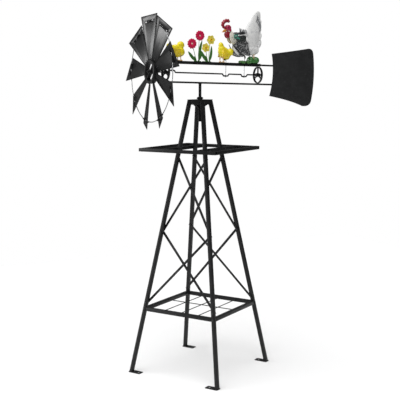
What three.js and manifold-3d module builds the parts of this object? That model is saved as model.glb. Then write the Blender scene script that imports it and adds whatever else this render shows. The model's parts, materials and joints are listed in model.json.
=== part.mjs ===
// Garden windmill: a four-legged steel tower with a plant shelf, and a turning head that
// carries a nine-blade fan, a cranked shaft, three rocking bird figures and a tail vane.
// Millimetres, +Z up. +X runs along the head from the fan to the tail vane.
import * as THREE from 'three';
import { mergeVertices } from 'three/addons/utils/BufferGeometryUtils.js';
import Module from 'manifold-3d';

const wasm = await Module();
wasm.setup();

// ---- Driving dimensions -------------------------------------------------------------

const GAP = 0.3; // clearance between pieces that touch
const ALONG_LEG_GAP = 0.5; // between a leg and a shelf rail's end, at the rail's top

// Tower. Its own X runs along the two braced faces, and its legs lean in X and Y alike.
const TOWER_YAW = THREE.MathUtils.degToRad(-59);
const FOOT_HALF = 283; // tower centre to a leg's centre line at the ground
const LEG_TOP_HALF = 41; // the same at the legs' tops
const LEG_TOP_Z = 1534;
const LEG_TUBE = 20;
const LEG_WALL = 1.5;
const FOOT_LENGTH = 78;
const FOOT_WIDTH = 40;
const FOOT_THICKNESS = 3;
const FOOT_HOLE_RADIUS = 6;
const SHELF_TOP_Z = 372;
const SHELF_WIRE_RADIUS = 2.5;
const SHELF_WIRES = 3;
const PLATFORM_TOP_Z = 1273;
const PLATFORM_HALF = 246; // tower centre to the platform's outer edge
const PLATFORM_TUBE = 18;
const BRACE_WIDTH = 14;
const BRACE_THICKNESS = 2.5;
const BRACE_ABOVE_SHELF = 24;
const BRACE_BELOW_PLATFORM = 61;
const BRACE_MIDDLE_Z = 800;
const BRACE_OVERHANG = 8; // past the bolt at each end
const BOLT_RADIUS = 3;
const CAP_THICKNESS = 4;
const CAP_DEPTH = 24;

// Swivel.
const SLEEVE_RADIUS = 12;
const SLEEVE_LENGTH = 122;
const SPINDLE_RADIUS = 8;
const SPINDLE_CLEARANCE = 0.4;
const COLLAR_RADIUS = 14;
const COLLAR_HEIGHT = 14;
const NECK_HEIGHT = 87; // top of the cap to the underside of the lower rail

// Head. Its X is measured from the spindle, its Z from the lower rail's centre line.
const HEAD_LEAN = THREE.MathUtils.degToRad(1.4); // the tail hangs a little low
const RAIL_RADIUS = 5;
const RAIL_FRONT = -219;
const RAIL_REAR = 600;
const BAR_BOTTOM = 100;
const BAR_HEIGHT = 16;
const BAR_WALL = 2.5;
const BAR_MARGIN = 4; // the bar's width on each side of its slots
const BAR_REAR = 378;
const TAIL_ROD_LAP = 66; // the tail rod's length under the bar
const BEARING_WIDTH = 12;
const BEARING_BAND = 4;
const BEARING_SPOKES = 3;
const BEARING_SPOKE = 4;
const BEARING_HUB_RADIUS = 11;
const FRONT_BEARING_INSET = 7; // from the rail's front end to the bearing's middle
const REAR_BEARING_INSET = 6; // from the bar's rear end to the bearing's middle
const VANE_THICKNESS = 1.5;
const VANE_LAP = 150; // how far the rails reach along the vane
const VANE_LENGTH = 292;
const VANE_HOLLOW = 34; // how far the inner edge's middle is drawn towards the tail
const VANE_BULGE = 24; // and the outer edge's
const VANE_CORNER = 32;
const VANE_INNER_LEAN = 8; // the inner edge's top end lies this much further back
const VANE_OUTER_LEAN = 4; // and the outer edge's
const VANE_INNER_TOP = 176;
const VANE_INNER_BOTTOM = -66;
const VANE_MIDDLE_TOP = 196;
const VANE_MIDDLE_BOTTOM = -90;
const VANE_OUTER_TOP = 215;
const VANE_OUTER_BOTTOM = -119;

// Fan and crank.
const SHAFT_RADIUS = 4;
const SHAFT_CLEARANCE = 0.35;
const SHAFT_PAST_FAN = 24;
const SHAFT_PAST_BEARING = 16;
const THROW = 11;
const THROW_FLAT = 12; // half the straight crank pin
const THROW_RAMP = 10;
const SHAFT_STEPS = 176; // lengths that the shaft's sweep is made in
const FAN_STANDOFF = 79; // from the rail's front end to the fan's middle
const BLADES = 9;
const FIRST_BLADE = THREE.MathUtils.degToRad(-7);
const BLADE_PITCH = THREE.MathUtils.degToRad(15);
const BLADE_THICKNESS = 1.2;
const BLADE_TIP_RADIUS = 305;
const BLADE_ROOT_HALF = 22;
const BLADE_TIP_HALF = 69;
const HUB_RADIUS = 65;
const HUB_WIDTH = 28;
const HUB_BAND = 13;
const HUB_STRAP_WIDTH = 8; // the strap that carries the hub's boss
const HUB_STRAP_INSET = 4; // the strap's faces below the band's
const HUB_STRAP_ANGLE = THREE.MathUtils.degToRad(-45);
const HUB_BOSS_RADIUS = 12;
const RING_INSET = 34; // from the blades' tips
const RING_WIRE_RADIUS = 2.5;
const SLOT_HALF_LENGTH = 34;
const SLOT_HALF_WIDTH = 4.5;

// Push rods. side is +1 where the crank pin is above the shaft at rest, -1 below. tip is a
// rod's upper end at rest above its figure's pivot. pocket is how far the hollow for it in
// the figure runs each way along X, and headroom is the hollow above the tip's highest point.
const ROD_RADIUS = 1.5;
const ROD_SIDE_ROOM = 1.5; // beside the rod's swing, in the bar's slots and the figures
const ROD_END_ROOM = 2; // before and behind the rod in the bar's slots
const ROD_EYE_CLEARANCE = 0.5;
const ROD_EYE_WALL = 2.5;
const ROD_EYE_WIDTH = 5;
const FRONT_ROD = {
  name: 'push_rod_front', x: -173, side: 1, tip: 4, pocket: [-30, 16], headroom: 22,
};
const MIDDLE_ROD = {
  name: 'push_rod_middle', x: 161.5, side: -1, tip: 2, pocket: [-12, 16], headroom: 4,
};
const REAR_ROD = {
  name: 'push_rod_rear', x: 281, side: -1, tip: -26, pocket: [-14, 12], headroom: 16,
};
const PUSH_RODS = [FRONT_ROD, MIDDLE_ROD, REAR_ROD];

// Figures: where each one's pivot pin is, and how far it is tipped head-down at rest.
const PIN_RADIUS = 2;
const PIN_CLEARANCE = 0.3;
const FIGURE_LEG_RADIUS = 2.5;
const FIGURE_LEG_ROOM = 4; // round a leg's top, inside the figure
const LEG_PAST_PIN = 3;
const CHICK_PIVOT_HEIGHT = 27; // above the bar
const CHICK_LEG_OUTSIDE_SLOT = 5; // from the rod's slot to a leg's centre line
const CHICK_FOOT = { back: 9, front: 11, side: 4, thickness: 2 };
const CHICK_1_X = -131;
const CHICK_2_X = 133;
const CHICK_2_TIP = THREE.MathUtils.degToRad(38);
const ROOSTER_X = 337;
const ROOSTER_PIVOT_HEIGHT = 62;
const ROOSTER_LEG_Y = 9;

const CHICK_1_SHIFT = -15; // chick 1's body sits this far along X from its pivot

// Each figure's rounded lumps, about its pivot: the chick faces +X and the rooster -X.
const CHICK_LUMPS = {
  body: { centre: [4, 0, 20], semiAxes: [44, 25, 28], detail: 18 },
  tail: { centre: [-40, 0, 46], semiAxes: [27, 16, 18], tilt: 0.6, detail: 12 },
  head: { centre: [22, 0, 58], semiAxes: [21, 18, 20] },
  beak: { centre: [41, 0, 56], semiAxes: [7, 4, 4], detail: 8 },
};
const ROOSTER_LUMPS = {
  body: { centre: [-84, 0, 21], semiAxes: [52, 34, 42], tilt: 0.25, detail: 20 },
  saddle: { centre: [-16, 0, 70], semiAxes: [46, 25, 76], tilt: -0.05, detail: 20 },
  tail: { centre: [6, 0, 140], semiAxes: [34, 19, 91], tilt: 0.12, detail: 18 },
  neck: { centre: [-133, 0, 76], semiAxes: [23, 20, 50], tilt: -0.75, detail: 16 },
  head: { centre: [-171, 0, 126], semiAxes: [20, 16, 19] },
  comb: { centre: [-183, 0, 156], semiAxes: [22, 5, 27], tilt: 0.4, detail: 12 },
  wattle: { centre: [-168, 0, 93], semiAxes: [16, 8, 17], detail: 12 },
  beak: { centre: [-197, 0, 113], semiAxes: [17, 5, 5], tilt: -0.35, detail: 8 },
};

// The grass clump round the rooster's legs, and its low front step under the push rod.
const GRASS_HEIGHT = 36;
const GRASS_HALF_LENGTH = 36;
const GRASS_HALF_WIDTH = 26;
const GRASS_TUFT_HEIGHT = 12;
const GRASS_STEP = { before: 28, height: 12 };

// Flowers, measured from the foot strip: heights of heads and leaf tips, and leaf widths.
const STEM_RADIUS = 1.8;
const STRIP_HALF_WIDTH = 6;
const STRIP_THICKNESS = 3;
const FLOWER_DEPTH = 9;
const LEAF_THICKNESS = 3;
const RED_FLOWERS = {
  strip: [-40, 4],
  petals: 9,
  blooms: [
    { foot: -28, x: -57, height: 94, radius: 29 },
    { foot: -10, x: -9, height: 140, radius: 30 },
  ],
  leaves: [
    { foot: -28, x: -72, height: 46, width: 7 },
    { foot: -12, x: 4, height: 52, width: 7 },
  ],
};
const DAFFODILS = {
  strip: [12, 66],
  petals: 6,
  blooms: [
    { foot: 42, x: 29, height: 76, radius: 24 },
    { foot: 54, x: 62, height: 120, radius: 26 },
  ],
  leaves: [
    { foot: 40, x: 12, height: 46, width: 6 },
    { foot: 56, x: 76, height: 66, width: 7 },
  ],
};

// ---- Values worked out from them ----------------------------------------------------

const LEG_SLOPE = (FOOT_HALF - LEG_TOP_HALF) / LEG_TOP_Z;
const CAP_TOP_Z = LEG_TOP_Z + GAP + CAP_THICKNESS;
const HEAD_Z = CAP_TOP_Z + NECK_HEIGHT + RAIL_RADIUS;
const BRACE_BOTTOM_Z = SHELF_TOP_Z + BRACE_ABOVE_SHELF;
const BRACE_TOP_Z = PLATFORM_TOP_Z - BRACE_BELOW_PLATFORM;
const BAR_TOP = BAR_BOTTOM + BAR_HEIGHT;
const FRONT_BEARING_X = RAIL_FRONT + FRONT_BEARING_INSET;
const REAR_BEARING_X = BAR_REAR - REAR_BEARING_INSET;
const FAN_X = RAIL_FRONT - FAN_STANDOFF;
const SHAFT_FRONT = FAN_X - SHAFT_PAST_FAN;
const SHAFT_REAR = REAR_BEARING_X + SHAFT_PAST_BEARING;
const TAIL_ROD_FRONT = BAR_REAR - TAIL_ROD_LAP;
const RING_RADIUS = BLADE_TIP_RADIUS - RING_INSET;
const BEARING_RADIUS = (BAR_BOTTOM - RAIL_RADIUS) / 2 - GAP;
const CRANK_Z = (BAR_BOTTOM + RAIL_RADIUS) / 2;
const TAIL_ROD_Z = BAR_TOP - BAR_WALL - GAP - RAIL_RADIUS;
const VANE_Y = -(RAIL_RADIUS + GAP + VANE_THICKNESS);
const BLADE_ROOT_RADIUS = HUB_RADIUS + 2 * GAP;
const ROD_SLOT_HALF = THROW + ROD_RADIUS + ROD_SIDE_ROOM;
const ROD_SLOT_HALF_LENGTH = ROD_RADIUS + ROD_END_ROOM;
const BAR_HALF_WIDTH = ROD_SLOT_HALF + BAR_MARGIN;
const CHICK_LEG_Y = ROD_SLOT_HALF + CHICK_LEG_OUTSIDE_SLOT;
const CHICK_PIVOT_Z = BAR_TOP + CHICK_PIVOT_HEIGHT;
const ROOSTER_PIVOT_Z = BAR_TOP + ROOSTER_PIVOT_HEIGHT;
const FIGURE_FOOT_Z = BAR_TOP + GAP;

// A leg centre line's distance from the tower's centre planes at height z.
const legHalf = (z) => FOOT_HALF - LEG_SLOPE * z;

// ---- Materials ----------------------------------------------------------------------

const paint = (color, roughness, metalness) =>
  new THREE.MeshStandardMaterial({ color, roughness, metalness });
const blackSteel = () => paint(0x1c1d1e, 0.5, 0.5);
const bladeSteel = () => paint(0x2b2d2e, 0.45, 0.5);
const brightWire = () => paint(0x9a9da0, 0.35, 0.9);
const yellowPaint = () => paint(0xe8c81c, 0.45, 0);
const creamPaint = () => paint(0xd8b780, 0.5, 0);
const redPaint = () => paint(0xb5122f, 0.45, 0);
const greenPaint = () => paint(0x2f6b2c, 0.5, 0);
const whitePaint = () => paint(0xd9d9d4, 0.5, 0);

// ---- Solids -------------------------------------------------------------------------

function toManifold(geometry) {
  const bare = geometry.clone();
  bare.deleteAttribute('normal');
  bare.deleteAttribute('uv');
  const merged = mergeVertices(bare, 1e-4);
  return new wasm.Manifold(
    new wasm.Mesh({
      numProp: 3,
      vertProperties: merged.attributes.position.array,
      triVerts: new Uint32Array(merged.index.array),
    }),
  );
}

function toGeometry(manifold) {
  const mesh = manifold.getMesh();
  const geometry = new THREE.BufferGeometry();
  geometry.setAttribute('position', new THREE.BufferAttribute(mesh.vertProperties, 3));
  geometry.setIndex(new THREE.BufferAttribute(mesh.triVerts, 1));
  const flat = geometry.toNonIndexed();
  flat.computeVertexNormals();
  return flat;
}

const join = (...pieces) =>
  toGeometry(pieces.map(toManifold).reduce((all, piece) => all.add(piece)));

const cut = (body, ...tools) =>
  toGeometry(tools.map(toManifold).reduce((left, tool) => left.subtract(tool), toManifold(body)));

// A box between two opposite corners.
function boxBetween(low, high) {
  const size = high.map((value, axis) => value - low[axis]);
  const middle = high.map((value, axis) => (value + low[axis]) / 2);
  return new THREE.BoxGeometry(...size).translate(...middle);
}

// A round bar between two points.
function bar(from, to, radius, sides = 16) {
  const start = new THREE.Vector3(...from);
  const along = new THREE.Vector3(...to).sub(start);
  const geometry = new THREE.CylinderGeometry(radius, radius, along.length(), sides);
  geometry.translate(0, along.length() / 2, 0);
  const turn = new THREE.Quaternion().setFromUnitVectors(
    new THREE.Vector3(0, 1, 0),
    along.clone().normalize(),
  );
  return geometry.applyQuaternion(turn).translate(...from);
}

const alongX = (from, to, radius, z = 0, sides = 16) =>
  bar([from, 0, z], [to, 0, z], radius, sides);

// A ring about the Z axis with a rectangular section.
function band(innerRadius, outerRadius, low, high, sides) {
  const profile = [
    [innerRadius, low],
    [outerRadius, low],
    [outerRadius, high],
    [innerRadius, high],
    [innerRadius, low],
  ].map(([radius, height]) => new THREE.Vector2(radius, height));
  return new THREE.LatheGeometry(profile, sides).rotateX(Math.PI / 2);
}

function ellipsoid({ centre, semiAxes, tilt = 0, detail = 14 }) {
  const rows = Math.round(detail * 0.6);
  const geometry = new THREE.SphereGeometry(1, detail, rows).scale(...semiAxes);
  return geometry.rotateY(tilt).translate(...centre);
}

// A rectangular tube along Z, open at both ends.
function squareTube(width, height, wall, length) {
  const shape = rectangle(width, height);
  shape.holes.push(rectangle(width - 2 * wall, height - 2 * wall));
  return new THREE.ExtrudeGeometry(shape, { depth: length, bevelEnabled: false });
}

function rectangle(width, height) {
  const shape = new THREE.Shape();
  shape.moveTo(-width / 2, -height / 2);
  shape.lineTo(width / 2, -height / 2);
  shape.lineTo(width / 2, height / 2);
  shape.lineTo(-width / 2, height / 2);
  shape.closePath();
  return shape;
}

// A rectangular tube along X between two ends, centred on the given y and z.
const tubeAlongX = (from, to, width, height, y, z) =>
  squareTube(height, width, LEG_WALL, to - from)
    .rotateY(Math.PI / 2)
    .translate(from, y, z);

// Slides every level of a solid sideways in proportion to its height.
function leanInward(geometry, xPerZ, yPerZ) {
  const shear = new THREE.Matrix4().set(
    1, 0, xPerZ, 0,
    0, 1, yPerZ, 0,
    0, 0, 1, 0,
    0, 0, 0, 1,
  );
  return geometry.applyMatrix4(shear);
}

// ---- Tower --------------------------------------------------------------------------

// A leg at the corner (signX, signY), with its foot plate reaching inward along X.
function leg(signX, signY) {
  const tube = squareTube(LEG_TUBE, LEG_TUBE, LEG_WALL, LEG_TOP_Z - FOOT_THICKNESS / 2);
  tube.translate(signX * FOOT_HALF, signY * FOOT_HALF, FOOT_THICKNESS / 2);
  leanInward(tube, -signX * LEG_SLOPE, -signY * LEG_SLOPE);
  const outer = FOOT_HALF + LEG_TUBE / 2;
  const plate = rectangle(FOOT_LENGTH, FOOT_WIDTH);
  const hole = new THREE.Path();
  hole.absarc(-FOOT_LENGTH / 2 + FOOT_WIDTH / 2, 0, FOOT_HOLE_RADIUS, 0, 2 * Math.PI);
  plate.holes.push(hole);
  const foot = new THREE.ExtrudeGeometry(plate, {
    depth: FOOT_THICKNESS,
    bevelEnabled: false,
    curveSegments: 16,
  });
  foot.rotateZ(signX > 0 ? 0 : Math.PI);
  foot.translate(signX * (outer - FOOT_LENGTH / 2), signY * FOOT_HALF, 0);
  return join(tube, foot);
}

// A shelf rail between two legs, on the side of the tower at -Y.
function shelfRail() {
  const half = legHalf(SHELF_TOP_Z) - LEG_TUBE / 2 - ALONG_LEG_GAP;
  const middleZ = SHELF_TOP_Z - LEG_TUBE / 2;
  return tubeAlongX(-half, half, LEG_TUBE, LEG_TUBE, -legHalf(middleZ), middleZ);
}

// Half the clear span between two opposite shelf rails.
const shelfInside = () => legHalf(SHELF_TOP_Z - LEG_TUBE / 2) - LEG_TUBE / 2 - GAP;

// A shelf wire across the tower along Y.
function shelfWire(x) {
  const z = SHELF_TOP_Z - LEG_TUBE / 2;
  return bar([x, -shelfInside(), z], [x, shelfInside(), z], SHELF_WIRE_RADIUS, 8);
}

// The one wire along X, which lies on the others.
function shelfCrossWire() {
  const z = SHELF_TOP_Z - LEG_TUBE / 2 + 2 * SHELF_WIRE_RADIUS + GAP;
  return bar([-shelfInside(), 0, z], [shelfInside(), 0, z], SHELF_WIRE_RADIUS, 8);
}

// A flat brace inside the face at -Y, from low on one side to high on the other.
// layer 0 lies against the legs and layer 1 on top of it.
function brace(rise, lowZ, highZ, layer) {
  const start = new THREE.Vector2(-rise * legHalf(lowZ), lowZ);
  const end = new THREE.Vector2(rise * legHalf(highZ), highZ);
  const along = end.clone().sub(start);
  const shape = rectangle(along.length() + 2 * BRACE_OVERHANG, BRACE_WIDTH);
  for (const side of [-1, 1]) {
    const hole = new THREE.Path();
    hole.absarc((side * along.length()) / 2, 0, BOLT_RADIUS, 0, 2 * Math.PI);
    shape.holes.push(hole);
  }
  const geometry = new THREE.ExtrudeGeometry(shape, {
    depth: BRACE_THICKNESS,
    bevelEnabled: false,
    curveSegments: 6,
  });
  geometry.rotateZ(along.angle());
  geometry.translate((start.x + end.x) / 2, (start.y + end.y) / 2, 0);
  geometry.rotateX(Math.PI / 2);
  const inside = -FOOT_HALF + LEG_TUBE / 2 + GAP + layer * (BRACE_THICKNESS + GAP);
  geometry.translate(0, inside + BRACE_THICKNESS, 0);
  return leanInward(geometry, 0, LEG_SLOPE);
}

// Two platform rails run the full width, and two fit between them.
function platformRail(isLong) {
  const half = isLong ? PLATFORM_HALF : PLATFORM_HALF - LEG_TUBE - GAP;
  const z = PLATFORM_TOP_Z - PLATFORM_TUBE / 2;
  const y = -(PLATFORM_HALF - LEG_TUBE / 2);
  return tubeAlongX(-half, half, LEG_TUBE, PLATFORM_TUBE, y, z);
}

// A platform bar along X that passes just outside two legs.
function platformBar() {
  const half = PLATFORM_HALF - LEG_TUBE - GAP;
  const z = PLATFORM_TOP_Z - PLATFORM_TUBE / 2;
  const y = legHalf(PLATFORM_TOP_Z - PLATFORM_TUBE) + LEG_TUBE + GAP;
  return tubeAlongX(-half, half, LEG_TUBE, PLATFORM_TUBE, -y, z);
}

// The plate on the legs' tops, with its skirt between the legs and gussets to the sleeve.
function towerCap() {
  const half = LEG_TOP_HALF + LEG_TUBE / 2;
  const bottom = LEG_TOP_Z + GAP;
  const pieces = [boxBetween([-half, -half, bottom], [half, half, CAP_TOP_Z])];
  const inside = LEG_TOP_HALF - LEG_TUBE / 2 - GAP;
  const skirt = boxBetween(
    [-inside, -half, LEG_TOP_Z - CAP_DEPTH],
    [inside, -half + CAP_THICKNESS, bottom + 1],
  );
  const profile = new THREE.Shape();
  const overlap = 1;
  profile.moveTo(SLEEVE_RADIUS + GAP, bottom + overlap);
  profile.lineTo(SLEEVE_RADIUS + GAP, LEG_TOP_Z - 2 * CAP_DEPTH);
  profile.lineTo(half - CAP_THICKNESS + overlap, LEG_TOP_Z - CAP_DEPTH + overlap);
  profile.lineTo(half - CAP_THICKNESS + overlap, bottom + overlap);
  profile.closePath();
  const gusset = new THREE.ExtrudeGeometry(profile, { depth: CAP_THICKNESS, bevelEnabled: false });
  gusset.translate(0, 0, -CAP_THICKNESS / 2).rotateX(Math.PI / 2);
  for (let side = 0; side < 4; side += 1) {
    pieces.push(skirt.clone().rotateZ((side * Math.PI) / 2));
    pieces.push(gusset.clone().rotateZ((side * Math.PI) / 2));
  }
  const bore = bar([0, 0, 0], [0, 0, CAP_TOP_Z + 1], SLEEVE_RADIUS + GAP, 24);
  return cut(join(...pieces), bore);
}

function pivotSleeve() {
  const bore = SPINDLE_RADIUS + SPINDLE_CLEARANCE;
  return band(bore, SLEEVE_RADIUS, CAP_TOP_Z - SLEEVE_LENGTH, CAP_TOP_Z, 32);
}

// ---- Head ---------------------------------------------------------------------------

// The spindle and its collar stand upright on the tower's axis.
function spindle() {
  const bottom = CAP_TOP_Z - SLEEVE_LENGTH + SPINDLE_RADIUS;
  const tilt = SPINDLE_RADIUS * Math.tan(HEAD_LEAN);
  return bar([0, 0, bottom], [0, 0, HEAD_Z - RAIL_RADIUS - GAP - tilt], SPINDLE_RADIUS, 32);
}

function stopCollar() {
  const inner = SPINDLE_RADIUS + GAP;
  const bottom = CAP_TOP_Z + GAP;
  return band(inner, COLLAR_RADIUS, bottom, bottom + COLLAR_HEIGHT, 32);
}

// The channel that the figures stand on: open below, with a slot over each crank pin.
function figureBar() {
  const inner = BAR_HALF_WIDTH - BAR_WALL;
  const outside = boxBetween(
    [RAIL_FRONT, -BAR_HALF_WIDTH, BAR_BOTTOM],
    [BAR_REAR, BAR_HALF_WIDTH, BAR_TOP],
  );
  const inside = boxBetween(
    [RAIL_FRONT - 1, -inner, BAR_BOTTOM - 1],
    [BAR_REAR + 1, inner, BAR_TOP - BAR_WALL],
  );
  const slots = PUSH_RODS.map(({ x }) =>
    boxBetween(
      [x - ROD_SLOT_HALF_LENGTH, -ROD_SLOT_HALF, BAR_BOTTOM],
      [x + ROD_SLOT_HALF_LENGTH, ROD_SLOT_HALF, BAR_TOP + 1],
    ),
  );
  return cut(outside, inside, ...slots);
}

// A ring with three spokes and a bored hub, its axis along X at the shaft's height.
function bearing() {
  const half = BEARING_WIDTH / 2;
  const bore = SHAFT_RADIUS + SHAFT_CLEARANCE;
  const pieces = [
    band(BEARING_RADIUS - BEARING_BAND, BEARING_RADIUS, -half, half, 40),
    band(bore, BEARING_HUB_RADIUS, -half - 2, half + 2, 24),
  ];
  for (let spoke = 0; spoke < BEARING_SPOKES; spoke += 1) {
    const arm = boxBetween(
      [BEARING_HUB_RADIUS - 2, -BEARING_SPOKE / 2, -half + 2],
      [BEARING_RADIUS - BEARING_BAND / 2, BEARING_SPOKE / 2, half - 2],
    );
    pieces.push(arm.rotateZ((spoke * 2 * Math.PI) / BEARING_SPOKES));
  }
  return join(...pieces).rotateY(-Math.PI / 2);
}

// The tail vane: inner edge hollow, outer edge bulging, outer corners rounded.
function vane() {
  const inner = RAIL_REAR - VANE_LAP;
  const outer = inner + VANE_LENGTH;
  const middle = (VANE_OUTER_TOP + VANE_OUTER_BOTTOM) / 2;
  const innerMiddle = (VANE_INNER_TOP + VANE_INNER_BOTTOM) / 2;
  const corner = VANE_CORNER;
  const shape = new THREE.Shape();
  shape.moveTo(inner, VANE_INNER_BOTTOM);
  shape.quadraticCurveTo(
    RAIL_REAR, VANE_MIDDLE_BOTTOM, outer - 2 * corner, VANE_OUTER_BOTTOM - 2,
  );
  shape.quadraticCurveTo(
    outer - corner / 4, VANE_OUTER_BOTTOM - corner / 4, outer, VANE_OUTER_BOTTOM + corner,
  );
  shape.quadraticCurveTo(
    outer + VANE_BULGE, middle, outer + VANE_OUTER_LEAN, VANE_OUTER_TOP - corner,
  );
  shape.quadraticCurveTo(outer, VANE_OUTER_TOP + 2, outer - corner, VANE_OUTER_TOP);
  shape.quadraticCurveTo(RAIL_REAR, VANE_MIDDLE_TOP, inner + VANE_INNER_LEAN, VANE_INNER_TOP);
  shape.quadraticCurveTo(inner + VANE_HOLLOW, innerMiddle, inner, VANE_INNER_BOTTOM);
  const sheet = new THREE.ExtrudeGeometry(shape, {
    depth: VANE_THICKNESS,
    bevelEnabled: false,
    curveSegments: 10,
  });
  return sheet.rotateX(Math.PI / 2).translate(0, VANE_Y + VANE_THICKNESS, 0);
}

// ---- Fan and crankshaft -------------------------------------------------------------

// The shaft's centre line: straight, with a smooth crank throw at each push rod.
class CrankLine extends THREE.Curve {
  getPoint(t, target = new THREE.Vector3()) {
    const x = SHAFT_FRONT + t * (SHAFT_REAR - SHAFT_FRONT);
    let z = 0;
    for (const rod of PUSH_RODS) {
      const away = (THROW_FLAT + THROW_RAMP - Math.abs(x - rod.x)) / THROW_RAMP;
      const part = THREE.MathUtils.clamp(away, 0, 1);
      z += rod.side * THROW * THREE.MathUtils.smoothstep(part, 0, 1);
    }
    return target.set(x, 0, z);
  }
}

function crankshaft() {
  const circle = new THREE.Shape();
  circle.absarc(0, 0, SHAFT_RADIUS, 0, 2 * Math.PI);
  return new THREE.ExtrudeGeometry(circle, {
    steps: SHAFT_STEPS,
    curveSegments: 5,
    extrudePath: new CrankLine(),
  });
}

// The fan's hub, blades and wire ring are made with the fan's axis along Z.
const fanToX = (geometry) => geometry.rotateY(-Math.PI / 2);

function hub() {
  const bore = SHAFT_RADIUS + GAP;
  const pieces = [
    band(HUB_RADIUS - HUB_BAND, HUB_RADIUS, -HUB_WIDTH / 2, HUB_WIDTH / 2, 45),
    band(bore, HUB_BOSS_RADIUS, -HUB_WIDTH / 2, HUB_WIDTH / 2, 24),
  ];
  const strapHalf = HUB_WIDTH / 2 - HUB_STRAP_INSET;
  for (const end of [0, Math.PI]) {
    const arm = boxBetween(
      [HUB_BOSS_RADIUS - 2, -HUB_STRAP_WIDTH / 2, -strapHalf],
      [HUB_RADIUS - HUB_BAND / 2, HUB_STRAP_WIDTH / 2, strapHalf],
    );
    pieces.push(arm.rotateZ(HUB_STRAP_ANGLE + end));
  }
  return fanToX(join(...pieces));
}

const wireRing = () => fanToX(new THREE.TorusGeometry(RING_RADIUS, RING_WIRE_RADIUS, 8, 72));

// A blade is a flat tapered sheet, slotted where the wire ring passes through it.
function blade(number) {
  const shape = new THREE.Shape();
  shape.moveTo(BLADE_ROOT_RADIUS, -BLADE_ROOT_HALF);
  shape.lineTo(BLADE_TIP_RADIUS, -BLADE_TIP_HALF);
  shape.lineTo(BLADE_TIP_RADIUS, BLADE_TIP_HALF);
  shape.lineTo(BLADE_ROOT_RADIUS, BLADE_ROOT_HALF);
  shape.closePath();
  const slot = new THREE.Path();
  slot.moveTo(RING_RADIUS - SLOT_HALF_WIDTH, -SLOT_HALF_LENGTH);
  slot.lineTo(RING_RADIUS + SLOT_HALF_WIDTH, -SLOT_HALF_LENGTH);
  slot.lineTo(RING_RADIUS + SLOT_HALF_WIDTH, SLOT_HALF_LENGTH);
  slot.lineTo(RING_RADIUS - SLOT_HALF_WIDTH, SLOT_HALF_LENGTH);
  slot.closePath();
  shape.holes.push(slot);
  const sheet = new THREE.ExtrudeGeometry(shape, { depth: BLADE_THICKNESS, bevelEnabled: false });
  sheet.translate(0, 0, -BLADE_THICKNESS / 2).rotateX(BLADE_PITCH);
  return fanToX(sheet.rotateZ(-FIRST_BLADE - (number * 2 * Math.PI) / BLADES));
}

// ---- Push rods and figures ----------------------------------------------------------

// A rod with an eye round its crank pin, made about the pin's own centre. Its stem ends at
// tip above the pivot of its figure.
function pushRod({ side, tip }, pivotZ) {
  const inner = SHAFT_RADIUS + ROD_EYE_CLEARANCE;
  const outer = inner + ROD_EYE_WALL;
  const eye = band(inner, outer, -ROD_EYE_WIDTH / 2, ROD_EYE_WIDTH / 2, 20);
  const top = pivotZ + tip - CRANK_Z - side * THROW;
  const stem = bar([0, 0, inner + ROD_EYE_WALL / 2], [0, 0, top], ROD_RADIUS, 10);
  return join(eye.rotateY(Math.PI / 2), stem);
}

// Two legs and the pin between them, standing at footZ under a figure's pivot.
function legsAndPin(x, pivotZ, legY, footZ) {
  const pieces = [bar([x, -legY, pivotZ], [x, legY, pivotZ], PIN_RADIUS, 12)];
  for (const y of [-legY, legY]) {
    pieces.push(bar([x, y, footZ], [x, y, pivotZ + LEG_PAST_PIN], FIGURE_LEG_RADIUS, 10));
  }
  return pieces;
}

function chickStand(x) {
  const { back, front, side, thickness } = CHICK_FOOT;
  const plate = boxBetween(
    [x - back, -CHICK_LEG_Y - side, FIGURE_FOOT_Z],
    [x + front, CHICK_LEG_Y + side, FIGURE_FOOT_Z + thickness],
  );
  return join(plate, ...legsAndPin(x, CHICK_PIVOT_Z, CHICK_LEG_Y, FIGURE_FOOT_Z));
}

// What every figure is cut by: the bore for its pin and the room for its legs.
function pivotCuts(legY, reach) {
  const cuts = [bar([0, -reach, 0], [0, reach, 0], PIN_RADIUS + PIN_CLEARANCE, 16)];
  const inner = legY - FIGURE_LEG_RADIUS - 1;
  for (const side of [-1, 1]) {
    const room = FIGURE_LEG_RADIUS + FIGURE_LEG_ROOM;
    cuts.push(bar([0, side * inner, 0], [0, side * reach, 0], room, 16));
  }
  return cuts;
}

// The hollow for a push rod's tip in a figure that pivots at figureX, open below.
function rodPocket({ x, side, tip, pocket, headroom }, figureX) {
  const highest = tip + (1 - side) * THROW;
  const [back, front] = pocket.map((reach) => x - figureX + reach);
  const deep = -60;
  return boxBetween([back, -ROD_SLOT_HALF, deep], [front, ROD_SLOT_HALF, highest + headroom]);
}

const lumps = (shapes) => join(...Object.values(shapes).map(ellipsoid));

// Chick 1 stands upright, and its rod lifts the tail end.
function chickOne() {
  const pocket = rodPocket(FRONT_ROD, CHICK_1_X);
  const body = lumps(CHICK_LUMPS).translate(CHICK_1_SHIFT, 0, 0);
  return cut(body, pocket, ...pivotCuts(CHICK_LEG_Y, 40));
}

// Chick 2 is tipped head-down, and its rod hangs from the breast.
function chickTwo() {
  const tipped = lumps(CHICK_LUMPS).rotateY(CHICK_2_TIP);
  return cut(tipped, rodPocket(MIDDLE_ROD, CHICK_2_X), ...pivotCuts(CHICK_LEG_Y, 40));
}

function rooster() {
  const pocket = rodPocket(REAR_ROD, ROOSTER_X);
  return cut(lumps(ROOSTER_LUMPS), pocket, ...pivotCuts(ROOSTER_LEG_Y, 60));
}

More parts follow.
